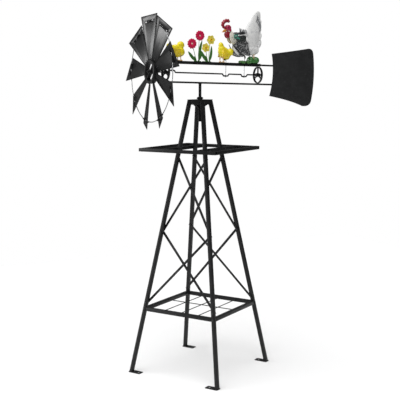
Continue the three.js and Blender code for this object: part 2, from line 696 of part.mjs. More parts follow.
// A clump of grass that the rooster's two short legs stand in.
function grassBase() {
  const top = FIGURE_FOOT_Z + GRASS_HEIGHT;
  const rodX = REAR_ROD.x;
  const tuft = (offset, reach) =>
    ellipsoid({
      centre: [ROOSTER_X + offset, 0, top - GRASS_TUFT_HEIGHT],
      semiAxes: [reach, 22, GRASS_TUFT_HEIGHT],
      detail: 12,
    });
  const clump = join(
    boxBetween(
      [ROOSTER_X - GRASS_HALF_LENGTH, -GRASS_HALF_WIDTH, FIGURE_FOOT_Z],
      [ROOSTER_X + GRASS_HALF_LENGTH, GRASS_HALF_WIDTH, top - 8],
    ),
    tuft(-10, 26),
    tuft(14, 22),
    boxBetween(
      [rodX - GRASS_STEP.before, -GRASS_HALF_WIDTH, FIGURE_FOOT_Z],
      [ROOSTER_X, GRASS_HALF_WIDTH, FIGURE_FOOT_Z + GRASS_STEP.height],
    ),
    ...legsAndPin(ROOSTER_X, ROOSTER_PIVOT_Z, ROOSTER_LEG_Y, FIGURE_FOOT_Z + 2),
  );
  const rodRoom = ROD_SLOT_HALF_LENGTH + 2;
  const slot = boxBetween(
    [rodX - rodRoom, -ROD_SLOT_HALF, BAR_TOP - 1],
    [rodX + rodRoom, ROD_SLOT_HALF, top],
  );
  return cut(clump, slot);
}

// ---- Flowers ------------------------------------------------------------------------

// A flat flower head with rounded petals, facing -Y.
function flowerHead(x, z, radius, petals) {
  const outline = [];
  const points = petals * 4;
  for (let i = 0; i < points; i += 1) {
    const angle = (i * 2 * Math.PI) / points;
    const reach = radius * (0.9 + 0.1 * Math.cos(petals * angle));
    outline.push(new THREE.Vector2(reach * Math.cos(angle), reach * Math.sin(angle)));
  }
  const head = new THREE.ExtrudeGeometry(new THREE.Shape(outline), {
    depth: FLOWER_DEPTH,
    bevelEnabled: false,
  });
  return head.rotateX(Math.PI / 2).translate(x, 0, z);
}

// A pointed leaf from its foot to its tip, standing in the flowers' plane.
function leaf({ foot, x, height, width }) {
  const footHalf = LEAF_THICKNESS / 2;
  const reach = new THREE.Vector2(x - foot, height - 1);
  const widest = 0.55 * reach.length();
  const shape = new THREE.Shape();
  shape.moveTo(0, -footHalf);
  shape.quadraticCurveTo(widest, -width, reach.length(), 0);
  shape.quadraticCurveTo(widest, width, 0, footHalf);
  shape.closePath();
  const sheet = new THREE.ExtrudeGeometry(shape, {
    depth: LEAF_THICKNESS,
    bevelEnabled: false,
    curveSegments: 6,
  });
  sheet.rotateZ(reach.angle()).rotateX(Math.PI / 2);
  return sheet.translate(foot, footHalf, FIGURE_FOOT_Z + 1);
}

function stem({ foot, x, height }) {
  const y = LEAF_THICKNESS / 2;
  return bar([foot, y, FIGURE_FOOT_Z + 1], [x, y, FIGURE_FOOT_Z + height], STEM_RADIUS, 8);
}

// Flowers on their stems, with leaves, on one strip that stands on the bar.
function flowers({ strip: [from, to], petals, blooms, leaves }) {
  return join(
    boxBetween(
      [from, -STRIP_HALF_WIDTH, FIGURE_FOOT_Z],
      [to, STRIP_HALF_WIDTH, FIGURE_FOOT_Z + STRIP_THICKNESS],
    ),
    ...blooms.map(stem),
    ...blooms.map(({ x, height, radius }) =>
      flowerHead(x, FIGURE_FOOT_Z + height, radius, petals),
    ),
    ...leaves.map(leaf),
  );
}

// ---- Assembly -----------------------------------------------------------------------

function addPart(parent, name, geometry, material) {
  const mesh = new THREE.Mesh(geometry, material);
  mesh.name = name;
  parent.add(mesh);
  return mesh;
}

function buildTower() {
  const tower = new THREE.Group();
  const corners = [
    ['leg_front_left', -1, -1],
    ['leg_front_right', 1, -1],
    ['leg_back_right', 1, 1],
    ['leg_back_left', -1, 1],
  ];
  for (const [name, signX, signY] of corners) {
    addPart(tower, name, leg(signX, signY), blackSteel());
  }
  ['front', 'right', 'back', 'left'].forEach((side, turn) => {
    const rail = addPart(tower, `shelf_rail_${side}`, shelfRail(), blackSteel());
    rail.rotation.z = (turn * Math.PI) / 2;
    const edge = platformRail(turn % 2 === 0);
    const platform = addPart(tower, `platform_rail_${side}`, edge, blackSteel());
    platform.rotation.z = (turn * Math.PI) / 2;
  });
  for (let wire = 1; wire <= SHELF_WIRES; wire += 1) {
    const x = shelfInside() * ((2 * wire) / (SHELF_WIRES + 1) - 1);
    addPart(tower, `shelf_wire_${wire}`, shelfWire(x), blackSteel());
  }
  addPart(tower, 'shelf_cross_wire', shelfCrossWire(), blackSteel());
  ['left', 'right'].forEach((side, turn) => {
    const piece = addPart(tower, `platform_bar_${side}`, platformBar(), blackSteel());
    piece.rotation.z = -Math.PI / 2 + turn * Math.PI;
  });
  ['front', 'back'].forEach((side, turn) => {
    const tiers = [
      ['lower', BRACE_BOTTOM_Z, BRACE_MIDDLE_Z],
      ['upper', BRACE_MIDDLE_Z, BRACE_TOP_Z],
    ];
    for (const [tier, lowZ, highZ] of tiers) {
      [1, -1].forEach((rise, layer) => {
        const name = `brace_${side}_${tier}_${layer + 1}`;
        const piece = addPart(tower, name, brace(rise, lowZ, highZ, layer), blackSteel());
        piece.rotation.z = turn * Math.PI;
      });
    }
  });
  addPart(tower, 'tower_cap', towerCap(), blackSteel());
  addPart(tower, 'pivot_sleeve', pivotSleeve(), blackSteel());
  return tower;
}

function buildFixedHead(head) {
  addPart(head, 'lower_rail', alongX(RAIL_FRONT, RAIL_REAR, RAIL_RADIUS), blackSteel());
  addPart(head, 'figure_bar', figureBar(), blackSteel());
  const tailRod = alongX(TAIL_ROD_FRONT, RAIL_REAR, RAIL_RADIUS, TAIL_ROD_Z);
  addPart(head, 'tail_rod', tailRod, blackSteel());
  for (const [name, x] of [
    ['front_bearing', FRONT_BEARING_X],
    ['rear_bearing', REAR_BEARING_X],
  ]) {
    addPart(head, name, bearing(), blackSteel()).position.set(x, 0, CRANK_Z);
  }
  addPart(head, 'tail_vane', vane(), blackSteel());
  addPart(head, 'red_flowers', flowers(RED_FLOWERS), redPaint());
  addPart(head, 'daffodils', flowers(DAFFODILS), yellowPaint());
  addPart(head, 'chick_1_stand', chickStand(CHICK_1_X), creamPaint());
  addPart(head, 'chick_2_stand', chickStand(CHICK_2_X), creamPaint());
  addPart(head, 'grass_base', grassBase(), greenPaint());
}

function buildRotor(head) {
  const rotor = new THREE.Group();
  rotor.position.z = CRANK_Z;
  addPart(rotor, 'crankshaft', crankshaft(), blackSteel());
  const fan = new THREE.Group();
  fan.position.x = FAN_X;
  addPart(fan, 'fan_hub', hub(), blackSteel());
  addPart(fan, 'wire_ring', wireRing(), brightWire());
  for (let number = 0; number < BLADES; number += 1) {
    addPart(fan, `blade_${number + 1}`, blade(number), bladeSteel());
  }
  rotor.add(fan);
  head.add(rotor);
}

function buildFigures(head) {
  const figures = [
    ['chick_1', CHICK_1_X, CHICK_PIVOT_Z, chickOne(), yellowPaint(), FRONT_ROD],
    ['chick_2', CHICK_2_X, CHICK_PIVOT_Z, chickTwo(), yellowPaint(), MIDDLE_ROD],
    ['rooster', ROOSTER_X, ROOSTER_PIVOT_Z, rooster(), whitePaint(), REAR_ROD],
  ];
  for (const [name, x, pivotZ, geometry, material, rod] of figures) {
    addPart(head, name, geometry, material).position.set(x, 0, pivotZ);
    const mesh = addPart(head, rod.name, pushRod(rod, pivotZ), brightWire());
    mesh.position.set(rod.x, 0, CRANK_Z + rod.side * THROW);
  }
}

function buildWindmill() {
  const windmill = new THREE.Group();
  const tower = buildTower();
  tower.rotation.z = TOWER_YAW;
  windmill.add(tower);
  addPart(windmill, 'spindle', spindle(), blackSteel());
  addPart(windmill, 'stop_collar', stopCollar(), blackSteel());
  const head = new THREE.Group();
  head.position.z = HEAD_Z;
  head.rotation.y = HEAD_LEAN;
  buildFixedHead(head);
  buildRotor(head);
  buildFigures(head);
  windmill.add(head);
  return windmill;
}

// The origin is at the middle of the windmill's box, on the ground.
const model = new THREE.Group();
const windmill = buildWindmill();
model.add(windmill);
model.updateMatrixWorld(true);
const extent = new THREE.Box3().setFromObject(model, true);
windmill.position.x = -(extent.min.x + extent.max.x) / 2;
windmill.position.y = -(extent.min.y + extent.max.y) / 2;
windmill.position.z = -extent.min.z;

export default model;
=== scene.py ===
import json
import math
import random

import bmesh
import bpy
from mathutils import Matrix, Vector


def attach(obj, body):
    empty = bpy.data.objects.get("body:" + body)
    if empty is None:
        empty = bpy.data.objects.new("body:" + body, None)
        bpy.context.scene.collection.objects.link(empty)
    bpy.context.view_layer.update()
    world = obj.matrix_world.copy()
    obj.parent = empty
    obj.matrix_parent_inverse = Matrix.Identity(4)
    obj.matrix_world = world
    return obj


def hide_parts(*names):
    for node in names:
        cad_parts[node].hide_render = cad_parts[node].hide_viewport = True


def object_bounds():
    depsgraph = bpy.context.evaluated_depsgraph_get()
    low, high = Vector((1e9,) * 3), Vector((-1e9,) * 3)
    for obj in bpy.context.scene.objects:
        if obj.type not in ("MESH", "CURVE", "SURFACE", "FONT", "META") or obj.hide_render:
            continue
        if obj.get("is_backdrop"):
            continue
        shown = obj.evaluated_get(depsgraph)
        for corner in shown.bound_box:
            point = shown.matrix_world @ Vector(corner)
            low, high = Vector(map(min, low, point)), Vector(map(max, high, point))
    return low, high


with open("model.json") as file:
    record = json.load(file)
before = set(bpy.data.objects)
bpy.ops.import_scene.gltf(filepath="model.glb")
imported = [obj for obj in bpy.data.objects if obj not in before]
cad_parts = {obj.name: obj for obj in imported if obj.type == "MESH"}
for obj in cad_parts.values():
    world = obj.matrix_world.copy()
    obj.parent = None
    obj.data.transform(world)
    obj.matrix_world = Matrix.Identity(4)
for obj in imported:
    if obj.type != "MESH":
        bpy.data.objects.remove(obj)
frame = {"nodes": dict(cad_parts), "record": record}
cad_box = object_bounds()
rng = random.Random(7)

# ---- Dimensions, in millimetres unless a comment says otherwise -----------------------

MM = 0.001
HEAD_LEAN = math.radians(1.4)
HEAD_Z = 1630.3  # lower rail's centre line over the tower's axis
CAP_TOP_Z = 1538.3
TOWER_YAW = math.radians(-59)
FOOT_HALF, LEG_TOP_HALF, LEG_TOP_Z = 283, 41, 1534
LEG_TUBE, LEG_CORNER = 20, 1.6
LEG_SLOPE = (FOOT_HALF - LEG_TOP_HALF) / LEG_TOP_Z
SHELF_TOP_Z = 372
PLATFORM_TOP_Z, PLATFORM_HALF, PLATFORM_TUBE = 1273, 246, 18
BRACE_LEVELS = (396, 800, 1212)
BRACE_THICKNESS = 2.5
GAP = 0.3

RAIL_RADIUS, RAIL_FRONT, RAIL_REAR = 5, -219, 600
BAR_TOP = 116
TAIL_ROD_FRONT, TAIL_ROD_Z = 312, 108.2
BEARINGS = {"front_bearing": -212, "rear_bearing": 372}
CRANK_Z = 52.5
SHAFT_RADIUS, SHAFT_FRONT, SHAFT_REAR = 4, -322, 388
THROW, THROW_FLAT, THROW_RAMP = 11, 12, 10
RODS = (  # name, place along the head, side of its throw, height of its top
    ("push_rod_front", -173, 1, 147),
    ("push_rod_middle", 161.5, -1, 145),
    ("push_rod_rear", 281, -1, 152),
)
REAR_ROD_X = RODS[2][1]
ROD_RADIUS = 1.5
VANE_Y, VANE_THICKNESS = -6.05, 1.5

FAN_X, BLADES = -298, 9
FIRST_BLADE, BLADE_PITCH = math.radians(-7), math.radians(15)
BLADE_ROOT, BLADE_TIP, BLADE_ROOT_HALF, BLADE_TIP_HALF = 65.6, 305, 22, 69
BLADE_THICKNESS = 1.2
RING_RADIUS, RING_WIRE = 271, 2.5

CHICK_PIVOT_Z, ROOSTER_PIVOT_Z = 143, 178
CHICK_1_X, CHICK_2_X, ROOSTER_X = -131, 133, 337
CHICK_2_TIP = math.radians(38)
CHICK_1_SHIFT = -15  # chick 1's body from its pivot, along the head
CHICK_LEG_Y, ROOSTER_LEG_Y = 19, 9

# ---- Places: each turns millimetres in its own frame into metres in the row's ----------

axis_x = next(j for j in frame["record"]["behaviour"]["joints"] if j["name"] == "head_yaw")
axis_x = axis_x["pos_m"][0]
SCALE = Matrix.Scale(MM, 4)


def at(x=0.0, y=0.0, z=0.0):
    return Matrix.Translation((x, y, z))


def turn(angle, axis):
    return Matrix.Rotation(angle, 4, axis)


AXIS = at(axis_x) @ SCALE
TOWER = AXIS @ turn(TOWER_YAW, "Z")
HEAD = AXIS @ at(z=HEAD_Z) @ turn(HEAD_LEAN, "Y")
FAN = HEAD @ at(FAN_X, 0, CRANK_Z) @ turn(-math.pi / 2, "Y")
CHICK_1 = HEAD @ at(CHICK_1_X + CHICK_1_SHIFT, 0, CHICK_PIVOT_Z)
CHICK_2 = HEAD @ at(CHICK_2_X, 0, CHICK_PIVOT_Z) @ turn(CHICK_2_TIP, "Y")
ROOSTER = HEAD @ at(ROOSTER_X, 0, ROOSTER_PIVOT_Z)


def leg_half(z):
    return FOOT_HALF - LEG_SLOPE * z


# ---- Materials -------------------------------------------------------------------------


class Nodes:
    """Adds shader nodes to one material."""

    def __init__(self, name):
        self.material = bpy.data.materials.new(name)
        self.material.use_nodes = True
        self.tree = self.material.node_tree
        self.shader = self.tree.nodes["Principled BSDF"]
        coordinates = self.add("ShaderNodeTexCoord")
        self.place = coordinates.outputs["Object"]

    def add(self, kind, **settings):
        node = self.tree.nodes.new(kind)
        for key, value in settings.items():
            setattr(node, key, value)
        return node

    def link(self, output, target):
        self.tree.links.new(output, target)

    def noise(self, size, detail=3.0, stretch=None):
        """Noise whose features are about size metres across."""
        node = self.add("ShaderNodeTexNoise")
        node.inputs["Scale"].default_value = 1.0 / size
        node.inputs["Detail"].default_value = detail
        place = self.place
        if stretch:
            mapping = self.add("ShaderNodeMapping")
            mapping.inputs["Scale"].default_value = stretch
            self.link(place, mapping.inputs["Vector"])
            place = mapping.outputs["Vector"]
        self.link(place, node.inputs["Vector"])
        return node.outputs["Fac"]

    def spread(self, value, low, high, start=0.0, end=1.0):
        node = self.add("ShaderNodeMapRange")
        for key, number in zip(
            ("From Min", "From Max", "To Min", "To Max"), (low, high, start, end)
        ):
            node.inputs[key].default_value = number
        self.link(value, node.inputs["Value"])
        return node.outputs["Result"]

    def along(self, origin, direction):
        """How many metres a point lies along a direction from an origin."""
        offset = self.add("ShaderNodeVectorMath", operation="SUBTRACT")
        offset.inputs[1].default_value = origin
        self.link(self.place, offset.inputs[0])
        dot = self.add("ShaderNodeVectorMath", operation="DOT_PRODUCT")
        dot.inputs[1].default_value = direction
        self.link(offset.outputs["Vector"], dot.inputs[0])
        return dot.outputs["Value"]

    def maths(self, operation, a, b):
        node = self.add("ShaderNodeMath", operation=operation)
        for socket, value in zip(node.inputs, (a, b)):
            if isinstance(value, (int, float)):
                socket.default_value = value
            else:
                self.link(value, socket)
        return node.outputs["Value"]

    def mix(self, factor, first, second):
        node = self.add("ShaderNodeMix", data_type="RGBA")
        self.link(factor, node.inputs["Factor"])
        for socket, colour in ((node.inputs[6], first), (node.inputs[7], second)):
            if isinstance(colour, tuple):
                socket.default_value = (*colour, 1.0)
            else:
                self.link(colour, socket)
        return node.outputs[2]

    def finish(self, colour, roughness, height=None, depth=0.0, **fixed):
        """colour and roughness are sockets. height is a bump of that depth in metres."""
        self.link(colour, self.shader.inputs["Base Color"])
        self.link(roughness, self.shader.inputs["Roughness"])
        for key, value in fixed.items():
            self.shader.inputs[key.replace("_", " ")].default_value = value
        if height is not None:
            bump = self.add("ShaderNodeBump")
            bump.inputs["Strength"].default_value = 1.0
            bump.inputs["Distance"].default_value = depth
            self.link(height, bump.inputs["Height"])
            self.link(bump.outputs["Normal"], self.shader.inputs["Normal"])
        return self.material


def shade(colour, factor):
    return tuple(min(1.0, part * factor) for part in colour)


def powder_coat(name, colour, roughness, sheen=0.22, patchy=0.07):
    """Matt powder coat: a pebbled skin with dust and rubbed patches. patchy is how far its
    roughness varies each way."""
    n = Nodes(name)
    cloud = n.spread(n.noise(0.06, 4), 0.35, 0.7)
    rubbed = n.spread(n.noise(0.012, 5), 0.6, 0.78)
    tone = n.mix(cloud, shade(colour, 0.85), shade(colour, 1.2))
    tone = n.mix(rubbed, tone, shade(colour, 1.7))
    rough = n.spread(n.noise(0.03, 4), 0.3, 0.7, roughness - patchy, roughness + patchy)
    return n.finish(tone, rough, n.noise(0.0009, 2), 0.00006, Specular_IOR_Level=sheen)


def bare_metal(name, colour, roughness, brushed=(1, 1, 12)):
    """Plated steel with fine draw lines."""
    n = Nodes(name)
    tone = n.mix(n.spread(n.noise(0.02, 4), 0.3, 0.7), shade(colour, 0.8), shade(colour, 1.1))
    rough = n.spread(n.noise(0.008, 3), 0.3, 0.7, roughness - 0.08, roughness + 0.1)
    lines = n.noise(0.0012, 2, brushed)
    return n.finish(tone, rough, lines, 0.00003, Metallic=0.85)


def painted_resin(name, colour, low, roughness=0.36, strokes=(1, 1, 1), painted_shade=None):
    """Hand-painted resin: brush strokes, patches of the low colour, a clear coat.
    Its last argument, if given, is (origin, direction, length): painted shade, where the paint
    darkens to the low colour along that direction in place of the patches."""
    n = Nodes(name)
    brush = n.noise(0.007, 5, strokes)
    tone = n.mix(n.spread(brush, 0.35, 0.65), shade(colour, 0.88), shade(colour, 1.08))
    # Painted shade: the colour darkens to the low colour along the given direction.
    if painted_shade:
        origin, direction, length = painted_shade
        amount = n.spread(n.along(origin, direction), 0.0, length)
        amount = n.maths("ADD", amount, n.spread(brush, 0.3, 0.7, -0.18, 0.18))
        amount = n.spread(amount, 0.0, 1.0)
        tone = n.mix(amount, tone, low)
    else:
        tone = n.mix(n.spread(brush, 0.62, 0.75), tone, low)
    rough = n.spread(n.noise(0.015, 3), 0.3, 0.7, roughness - 0.06, roughness + 0.1)
    return n.finish(tone, rough, brush, 0.0004, Coat_Weight=0.25, Coat_Roughness=0.2)


def feather_paint(name, base, mark, share, stroke=0.004, stretch=(1, 1, 1)):
    """Streaked plumage: marks of a second colour over share of the base."""
    n = Nodes(name)
    streak = n.noise(stroke, 4, stretch)
    broad = n.noise(0.02, 3)
    where = n.maths("MULTIPLY", streak, n.spread(broad, 0.2, 0.7, 0.8, 1.2))
    tone = n.mix(n.spread(where, 0.62 - share, 0.72 - share), base, mark)
    rough = n.spread(broad, 0.3, 0.7, 0.36, 0.5)
    return n.finish(tone, rough, streak, 0.0005, Coat_Weight=0.15, Coat_Roughness=0.25)


BLACK = (0.0085, 0.0087, 0.009)
MAT = {
    "coat": powder_coat("powder_coat", BLACK, 0.42),
    "blade": powder_coat("blade_coat", shade(BLACK, 1.05), 0.33, 0.3, 0.02),
    # The folds' coat: the blade's black painted darker, painted shade along the hems, the slot's
    # lips and the scoops.
    "hem": powder_coat("hem_coat_painted_shade", shade(BLACK, 0.8), 0.6, 0.08),
    # The vane's coat: the tower's black painted 2.6 times lighter, painted light for the light that
    # the vane reflects.
    "vane": powder_coat("vane_coat_painted_light", shade(BLACK, 2.6), 0.5),
    "bolt": bare_metal("dark_fastener", (0.06, 0.06, 0.062), 0.38),
    "wire": bare_metal("plated_wire", (0.3, 0.305, 0.31), 0.32),
    "rod": bare_metal("push_rod_wire", (0.42, 0.43, 0.45), 0.34),
    "yellow": painted_resin("chick_yellow", (0.88, 0.74, 0.015), (0.66, 0.44, 0.01)),
    # The wings' yellow: the chick's yellow painted darker, painted shade on the wings.
    "ochre": painted_resin("wing_yellow_painted_shade", (0.84, 0.63, 0.012), (0.5, 0.29, 0.01)),
    "beak": painted_resin("beak_orange", (0.72, 0.3, 0.03), (0.5, 0.16, 0.02)),
    "cream": painted_resin("leg_cream", (0.75, 0.5, 0.24), (0.5, 0.26, 0.08)),
    "eye": painted_resin("eye_black", (0.012, 0.01, 0.01), (0.02, 0.015, 0.012), 0.15),
    "comb": painted_resin("comb_red", (0.3, 0.008, 0.024), (0.1, 0.003, 0.01)),
    "face": painted_resin("face_magenta", (0.42, 0.008, 0.06), (0.2, 0.004, 0.03)),
    "petal": painted_resin("petal_magenta", (0.66, 0.002, 0.07), (0.38, 0.001, 0.03)),
    "heart": painted_resin("flower_heart", (0.85, 0.6, 0.5), (0.7, 0.3, 0.2)),
    "daffodil": painted_resin("daffodil_yellow", (0.88, 0.76, 0.1), (0.8, 0.55, 0.03)),
    "trumpet": painted_resin("trumpet_gold", (0.85, 0.55, 0.02), (0.62, 0.3, 0.012)),
    "leaf": painted_resin("leaf_green", (0.045, 0.17, 0.025), (0.015, 0.07, 0.012)),
    "stem": painted_resin("stem_green", (0.2, 0.34, 0.14), (0.1, 0.22, 0.06)),
    "grass": painted_resin("grass_green", (0.035, 0.17, 0.03), (0.006, 0.045, 0.01)),
    "plume": feather_paint("plume_white", (0.8, 0.8, 0.79), (0.52, 0.53, 0.54), 0.06),
    "plume_tip": feather_paint("plume_grey", (0.42, 0.43, 0.44), (0.1, 0.1, 0.11), 0.16),
    "hackle": feather_paint("hackle_cream", (0.76, 0.72, 0.63), (0.3, 0.32, 0.26), 0.08),
    "breast": feather_paint("breast_grey", (0.035, 0.037, 0.04), (0.4, 0.4, 0.4), 0.1, 0.007),
    "black": feather_paint("feather_black", (0.01, 0.0105, 0.012), (0.05, 0.05, 0.055), 0.04),
    "wing": feather_paint("wing_black", (0.013, 0.016, 0.016), (0.09, 0.13, 0.12), 0.04),
    "teal": feather_paint("wing_teal", (0.03, 0.26, 0.18), (0.02, 0.09, 0.07), 0.08),
}
PAINTS = {
    "black_powder_coat": ("coat", "vane"),
    "blade_coat": ("blade", "hem"),
    "fastener_steel": ("bolt",),
    "plated_wire": ("wire", "rod"),
    "chick_yellow": ("yellow", "ochre"),
    "cream_paint": ("beak", "cream", "heart"),
    "green_paint": ("leaf", "stem", "grass", "teal"),
    "red_petals": ("petal",),
    "yellow_petals": ("daffodil", "trumpet"),
    "rooster_white": ("plume", "plume_tip", "hackle"),
    "rooster_dark": ("breast", "black", "wing", "eye"),
    "rooster_red": ("comb", "face"),
}
SLOTS = {paint: slot for slot, paints in PAINTS.items() for paint in paints}

# ---- Mesh building ---------------------------------------------------------------------

HARD_EDGE = math.radians(32)  # a CAD edge turned further than this is rounded


def in_scene(thing):
    bpy.context.scene.collection.objects.link(thing)
    return thing


def as_mesh(shape):
    """A mesh from a bmesh, which it uses up, or the mesh that it was given."""
    if not isinstance(shape, bmesh.types.BMesh):
        return shape
    mesh = bpy.data.meshes.new("part")
    shape.to_mesh(mesh)
    shape.free()
    return mesh


def applied(thing):
    """An object's mesh with its modifiers applied. The object is used up."""
    view = bpy.context.evaluated_depsgraph_get()
    mesh = bpy.data.meshes.new_from_object(thing.evaluated_get(view))
    bpy.data.objects.remove(thing)
    return mesh


def put(name, shape, place, paint, body, nodes=(), sharp=35.0):
    """Makes a finished piece from a shape in millimetres: placed, painted and riding.
    nodes are the CAD nodes that it stands for, sharp the angle of an edge that shows."""
    mesh = as_mesh(shape)
    mesh.transform(place)
    if place.to_3x3().determinant() < 0:
        mesh.flip_normals()
    mesh.name = name
    mesh.polygons.foreach_set("use_smooth", [True] * len(mesh.polygons))
    mesh.set_sharp_from_angle(angle=math.radians(sharp))
    piece = in_scene(bpy.data.objects.new(name, mesh))
    mesh.materials.clear()
    mesh.materials.append(MAT[paint])
    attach(piece, body)
    if nodes:
        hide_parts(*nodes)
    return piece


def join(*meshes):
    """One bmesh that holds several bmeshes or meshes, which it uses up."""
    whole = bmesh.new()
    for part in meshes:
        mesh = as_mesh(part)
        whole.from_mesh(mesh)
        bpy.data.meshes.remove(mesh)
    return whole


def moved(bm, matrix):
    bmesh.ops.transform(bm, matrix=matrix, verts=bm.verts)
    return bm


def loft(rings, closed_ends=True):
    """A skin over rings of points that all have the same count."""
    bm = bmesh.new()
    rows = [[bm.verts.new(point) for point in ring] for ring in rings]
    count = len(rows[0])
    for lower, upper in zip(rows, rows[1:]):
        for i in range(count):
            j = (i + 1) % count
            bm.faces.new((lower[i], lower[j], upper[j], upper[i]))
    if closed_ends:
        bm.faces.new(rows[0][::-1])
        bm.faces.new(rows[-1])
    bmesh.ops.recalc_face_normals(bm, faces=bm.faces)
    return bm


def lathe(profile, sides=40):
    """A turned solid about Z from (radius, height) pairs, closed on the axis if they reach it."""
    bm = bmesh.new()
    ring = [bm.verts.new((radius, 0, height)) for radius, height in profile]
    edges = [bm.edges.new(pair) for pair in zip(ring, ring[1:])]
    bmesh.ops.spin(
        bm, geom=ring + edges, cent=(0, 0, 0), axis=(0, 0, 1), angle=2 * math.pi, steps=sides
    )
    bmesh.ops.remove_doubles(bm, verts=bm.verts, dist=1e-4)
    bmesh.ops.recalc_face_normals(bm, faces=bm.faces)
    return bm


def frames(points):
    """The direction along a path and two steady side directions at each of its points."""
    points = [Vector(point) for point in points]
    side = None
    for i, point in enumerate(points):
        ahead = points[min(i + 1, len(points) - 1)] - points[max(i - 1, 0)]
        ahead.normalize()
        if side is None:
            side = ahead.orthogonal().normalized()
        side = (side - ahead * side.dot(ahead)).normalized()
        yield point, ahead, side, ahead.cross(side)


def wire(points, radii, sides=16):
    """A round rod along a path, with one radius or a radius at each point."""
    if isinstance(radii, (int, float)):
        radii = [radii] * len(points)
    rings = []
    for (point, _, side, up), radius in zip(frames(points), radii):
        angles = [2 * math.pi * k / sides for k in range(sides)]
        rings.append(
            [point + (side * math.cos(a) + up * math.sin(a)) * radius for a in angles]
        )
    return loft(rings)


def bend(start, end, sag, steps=12):
    """Points from start to end along an arc whose middle is moved by sag."""
    start, end, sag = Vector(start), Vector(end), Vector(sag)
    path = []
    for k in range(steps + 1):
        t = k / steps
        path.append(start.lerp(end, t) + sag * 4 * t * (1 - t))
    return path


def blade_along(path, widths, facing, thickness, cup=0.0):
    """A leaf-like solid along a path. facing is the way its flat side looks, widths its
    half width at each point, and cup how far its edges stand forward."""
    facing = Vector(facing)
    rings = []
    count = len(path)
    for i, (point, ahead, _, _) in enumerate(frames(path)):
        across = ahead.cross(facing).normalized()
        out = across.cross(ahead).normalized()
        width = widths[i] if isinstance(widths, list) else widths(i / (count - 1))
        width = max(width, 0.12)
        thick = thickness * (0.35 + 0.65 * min(1.0, width / max(1e-6, thickness)))
        section = []
        for share, lift in ((-1, 0), (-0.55, 0.8), (0, 1.25), (0.55, 0.8), (1, 0),
                            (0.55, -0.6), (0, -0.7), (-0.55, -0.6)):
            forward = lift * thick / 2 + cup * width * share * share
            section.append(point + across * width * share + out * forward)
        rings.append(section)
    return loft(rings)


def petal_width(widest, peak=0.55, root=0.25):
    """Half widths of a leaf or petal that is widest at peak along its length."""

    def width(t):
        if t < peak:
            s = t / peak
            return widest * (root + (1 - root) * math.sin(s * math.pi / 2))
        s = (t - peak) / (1 - peak)
        return widest * max(0.0, 1 - s * s) ** 0.7

    return width


def ball(centre, semi, tilt=0.0, detail=3, yaw=0.0):
    bm = bmesh.new()
    bmesh.ops.create_icosphere(bm, subdivisions=detail, radius=1.0)
    size = Matrix.Diagonal((*semi, 1.0))
    return moved(bm, at(*centre) @ turn(yaw, "Z") @ turn(tilt, "Y") @ size)


def soft_skin(lumps, voxel, smoothing):
    """One soft mesh from overlapping lumps: remeshed in one skin of that voxel size, in
    millimetres, then smoothed that many times."""
    mesh = as_mesh(join(*(moved(lump, SCALE) for lump in lumps)))
    mould = in_scene(bpy.data.objects.new("lumps", mesh))
    remesh = mould.modifiers.new("skin", "REMESH")
    remesh.mode, remesh.voxel_size = "VOXEL", voxel * MM
    smooth = mould.modifiers.new("soft", "SMOOTH")
    smooth.factor, smooth.iterations = 0.5, smoothing
    result = applied(mould)
    bpy.data.meshes.remove(mesh)
    result.transform(SCALE.inverted())
    return result


def hollowed(mesh, low, high):
    """The mesh with the box between two corners cut out of it."""
    low, high = Vector(low), Vector(high)
    block = bmesh.new()
    bmesh.ops.create_cube(block, size=1)
    moved(block, at(*((low + high) / 2)) @ Matrix.Diagonal((*(high - low), 1)))
    tool_mesh = as_mesh(block)
    solid = in_scene(bpy.data.objects.new("solid", mesh))
    tool = in_scene(bpy.data.objects.new("tool", tool_mesh))
    cutter = solid.modifiers.new("cut", "BOOLEAN")
    cutter.operation, cutter.solver, cutter.object = "DIFFERENCE", "EXACT", tool
    result = applied(solid)
    bpy.data.objects.remove(tool)
    for used in (mesh, tool_mesh):
        bpy.data.meshes.remove(used)
    return result


def sheet(outlines, thickness, rounding=0.3):
    """A flat plate in XY from an outline and holes, with rounded edges, centred in Z."""
    curve = bpy.data.curves.new("sheet", "CURVE")
    curve.dimensions, curve.fill_mode = "2D", "BOTH"
    curve.extrude = thickness / 2 - rounding
    curve.bevel_depth, curve.offset, curve.bevel_resolution = rounding, -rounding, 1
    for outline in outlines:
        spline = curve.splines.new("POLY")
        spline.points.add(len(outline) - 1)
        for target, (x, y) in zip(spline.points, outline):
            target.co = (x, y, 0, 1)
        spline.use_cyclic_u = True
    mesh = applied(in_scene(bpy.data.objects.new("sheet", curve)))
    bpy.data.curves.remove(curve)
    bm = bmesh.new()
    bm.from_mesh(mesh)
    bpy.data.meshes.remove(mesh)
    bmesh.ops.remove_doubles(bm, verts=bm.verts, dist=1e-4)
    return bm


def arc(cx, cy, radius, start, end, steps=8):
    """Points on a circle between two angles in degrees."""
    return [
        (cx + radius * math.cos(math.radians(a)), cy + radius * math.sin(math.radians(a)))
        for a in (start + (end - start) * k / steps for k in range(steps + 1))
    ]


def rounded(width, height, radius, steps=4):
    x, y = width / 2 - radius, height / 2 - radius
    corners = ((x, y, 0), (-x, y, 90), (-x, -y, 180), (x, -y, 270))
    return [p for cx, cy, a in corners for p in arc(cx, cy, radius, a, a + 90, steps)]


def hexagon_bolt(radius, height):
    """A bolt head on a washer, standing on Z = 0."""
    washer = lathe([(0, 0), (radius * 1.5, 0), (radius * 1.5, 0.8), (0, 0.8)], 24)
    rings = []
    for z, grow in ((0.8, 1.0), (height - 0.7, 1.0), (height, 0.86)):
        rings.append([
            (radius * grow * math.cos(a), radius * grow * math.sin(a), z)
            for a in (k * math.pi / 3 for k in range(6))
        ])
    return join(washer, loft(rings))


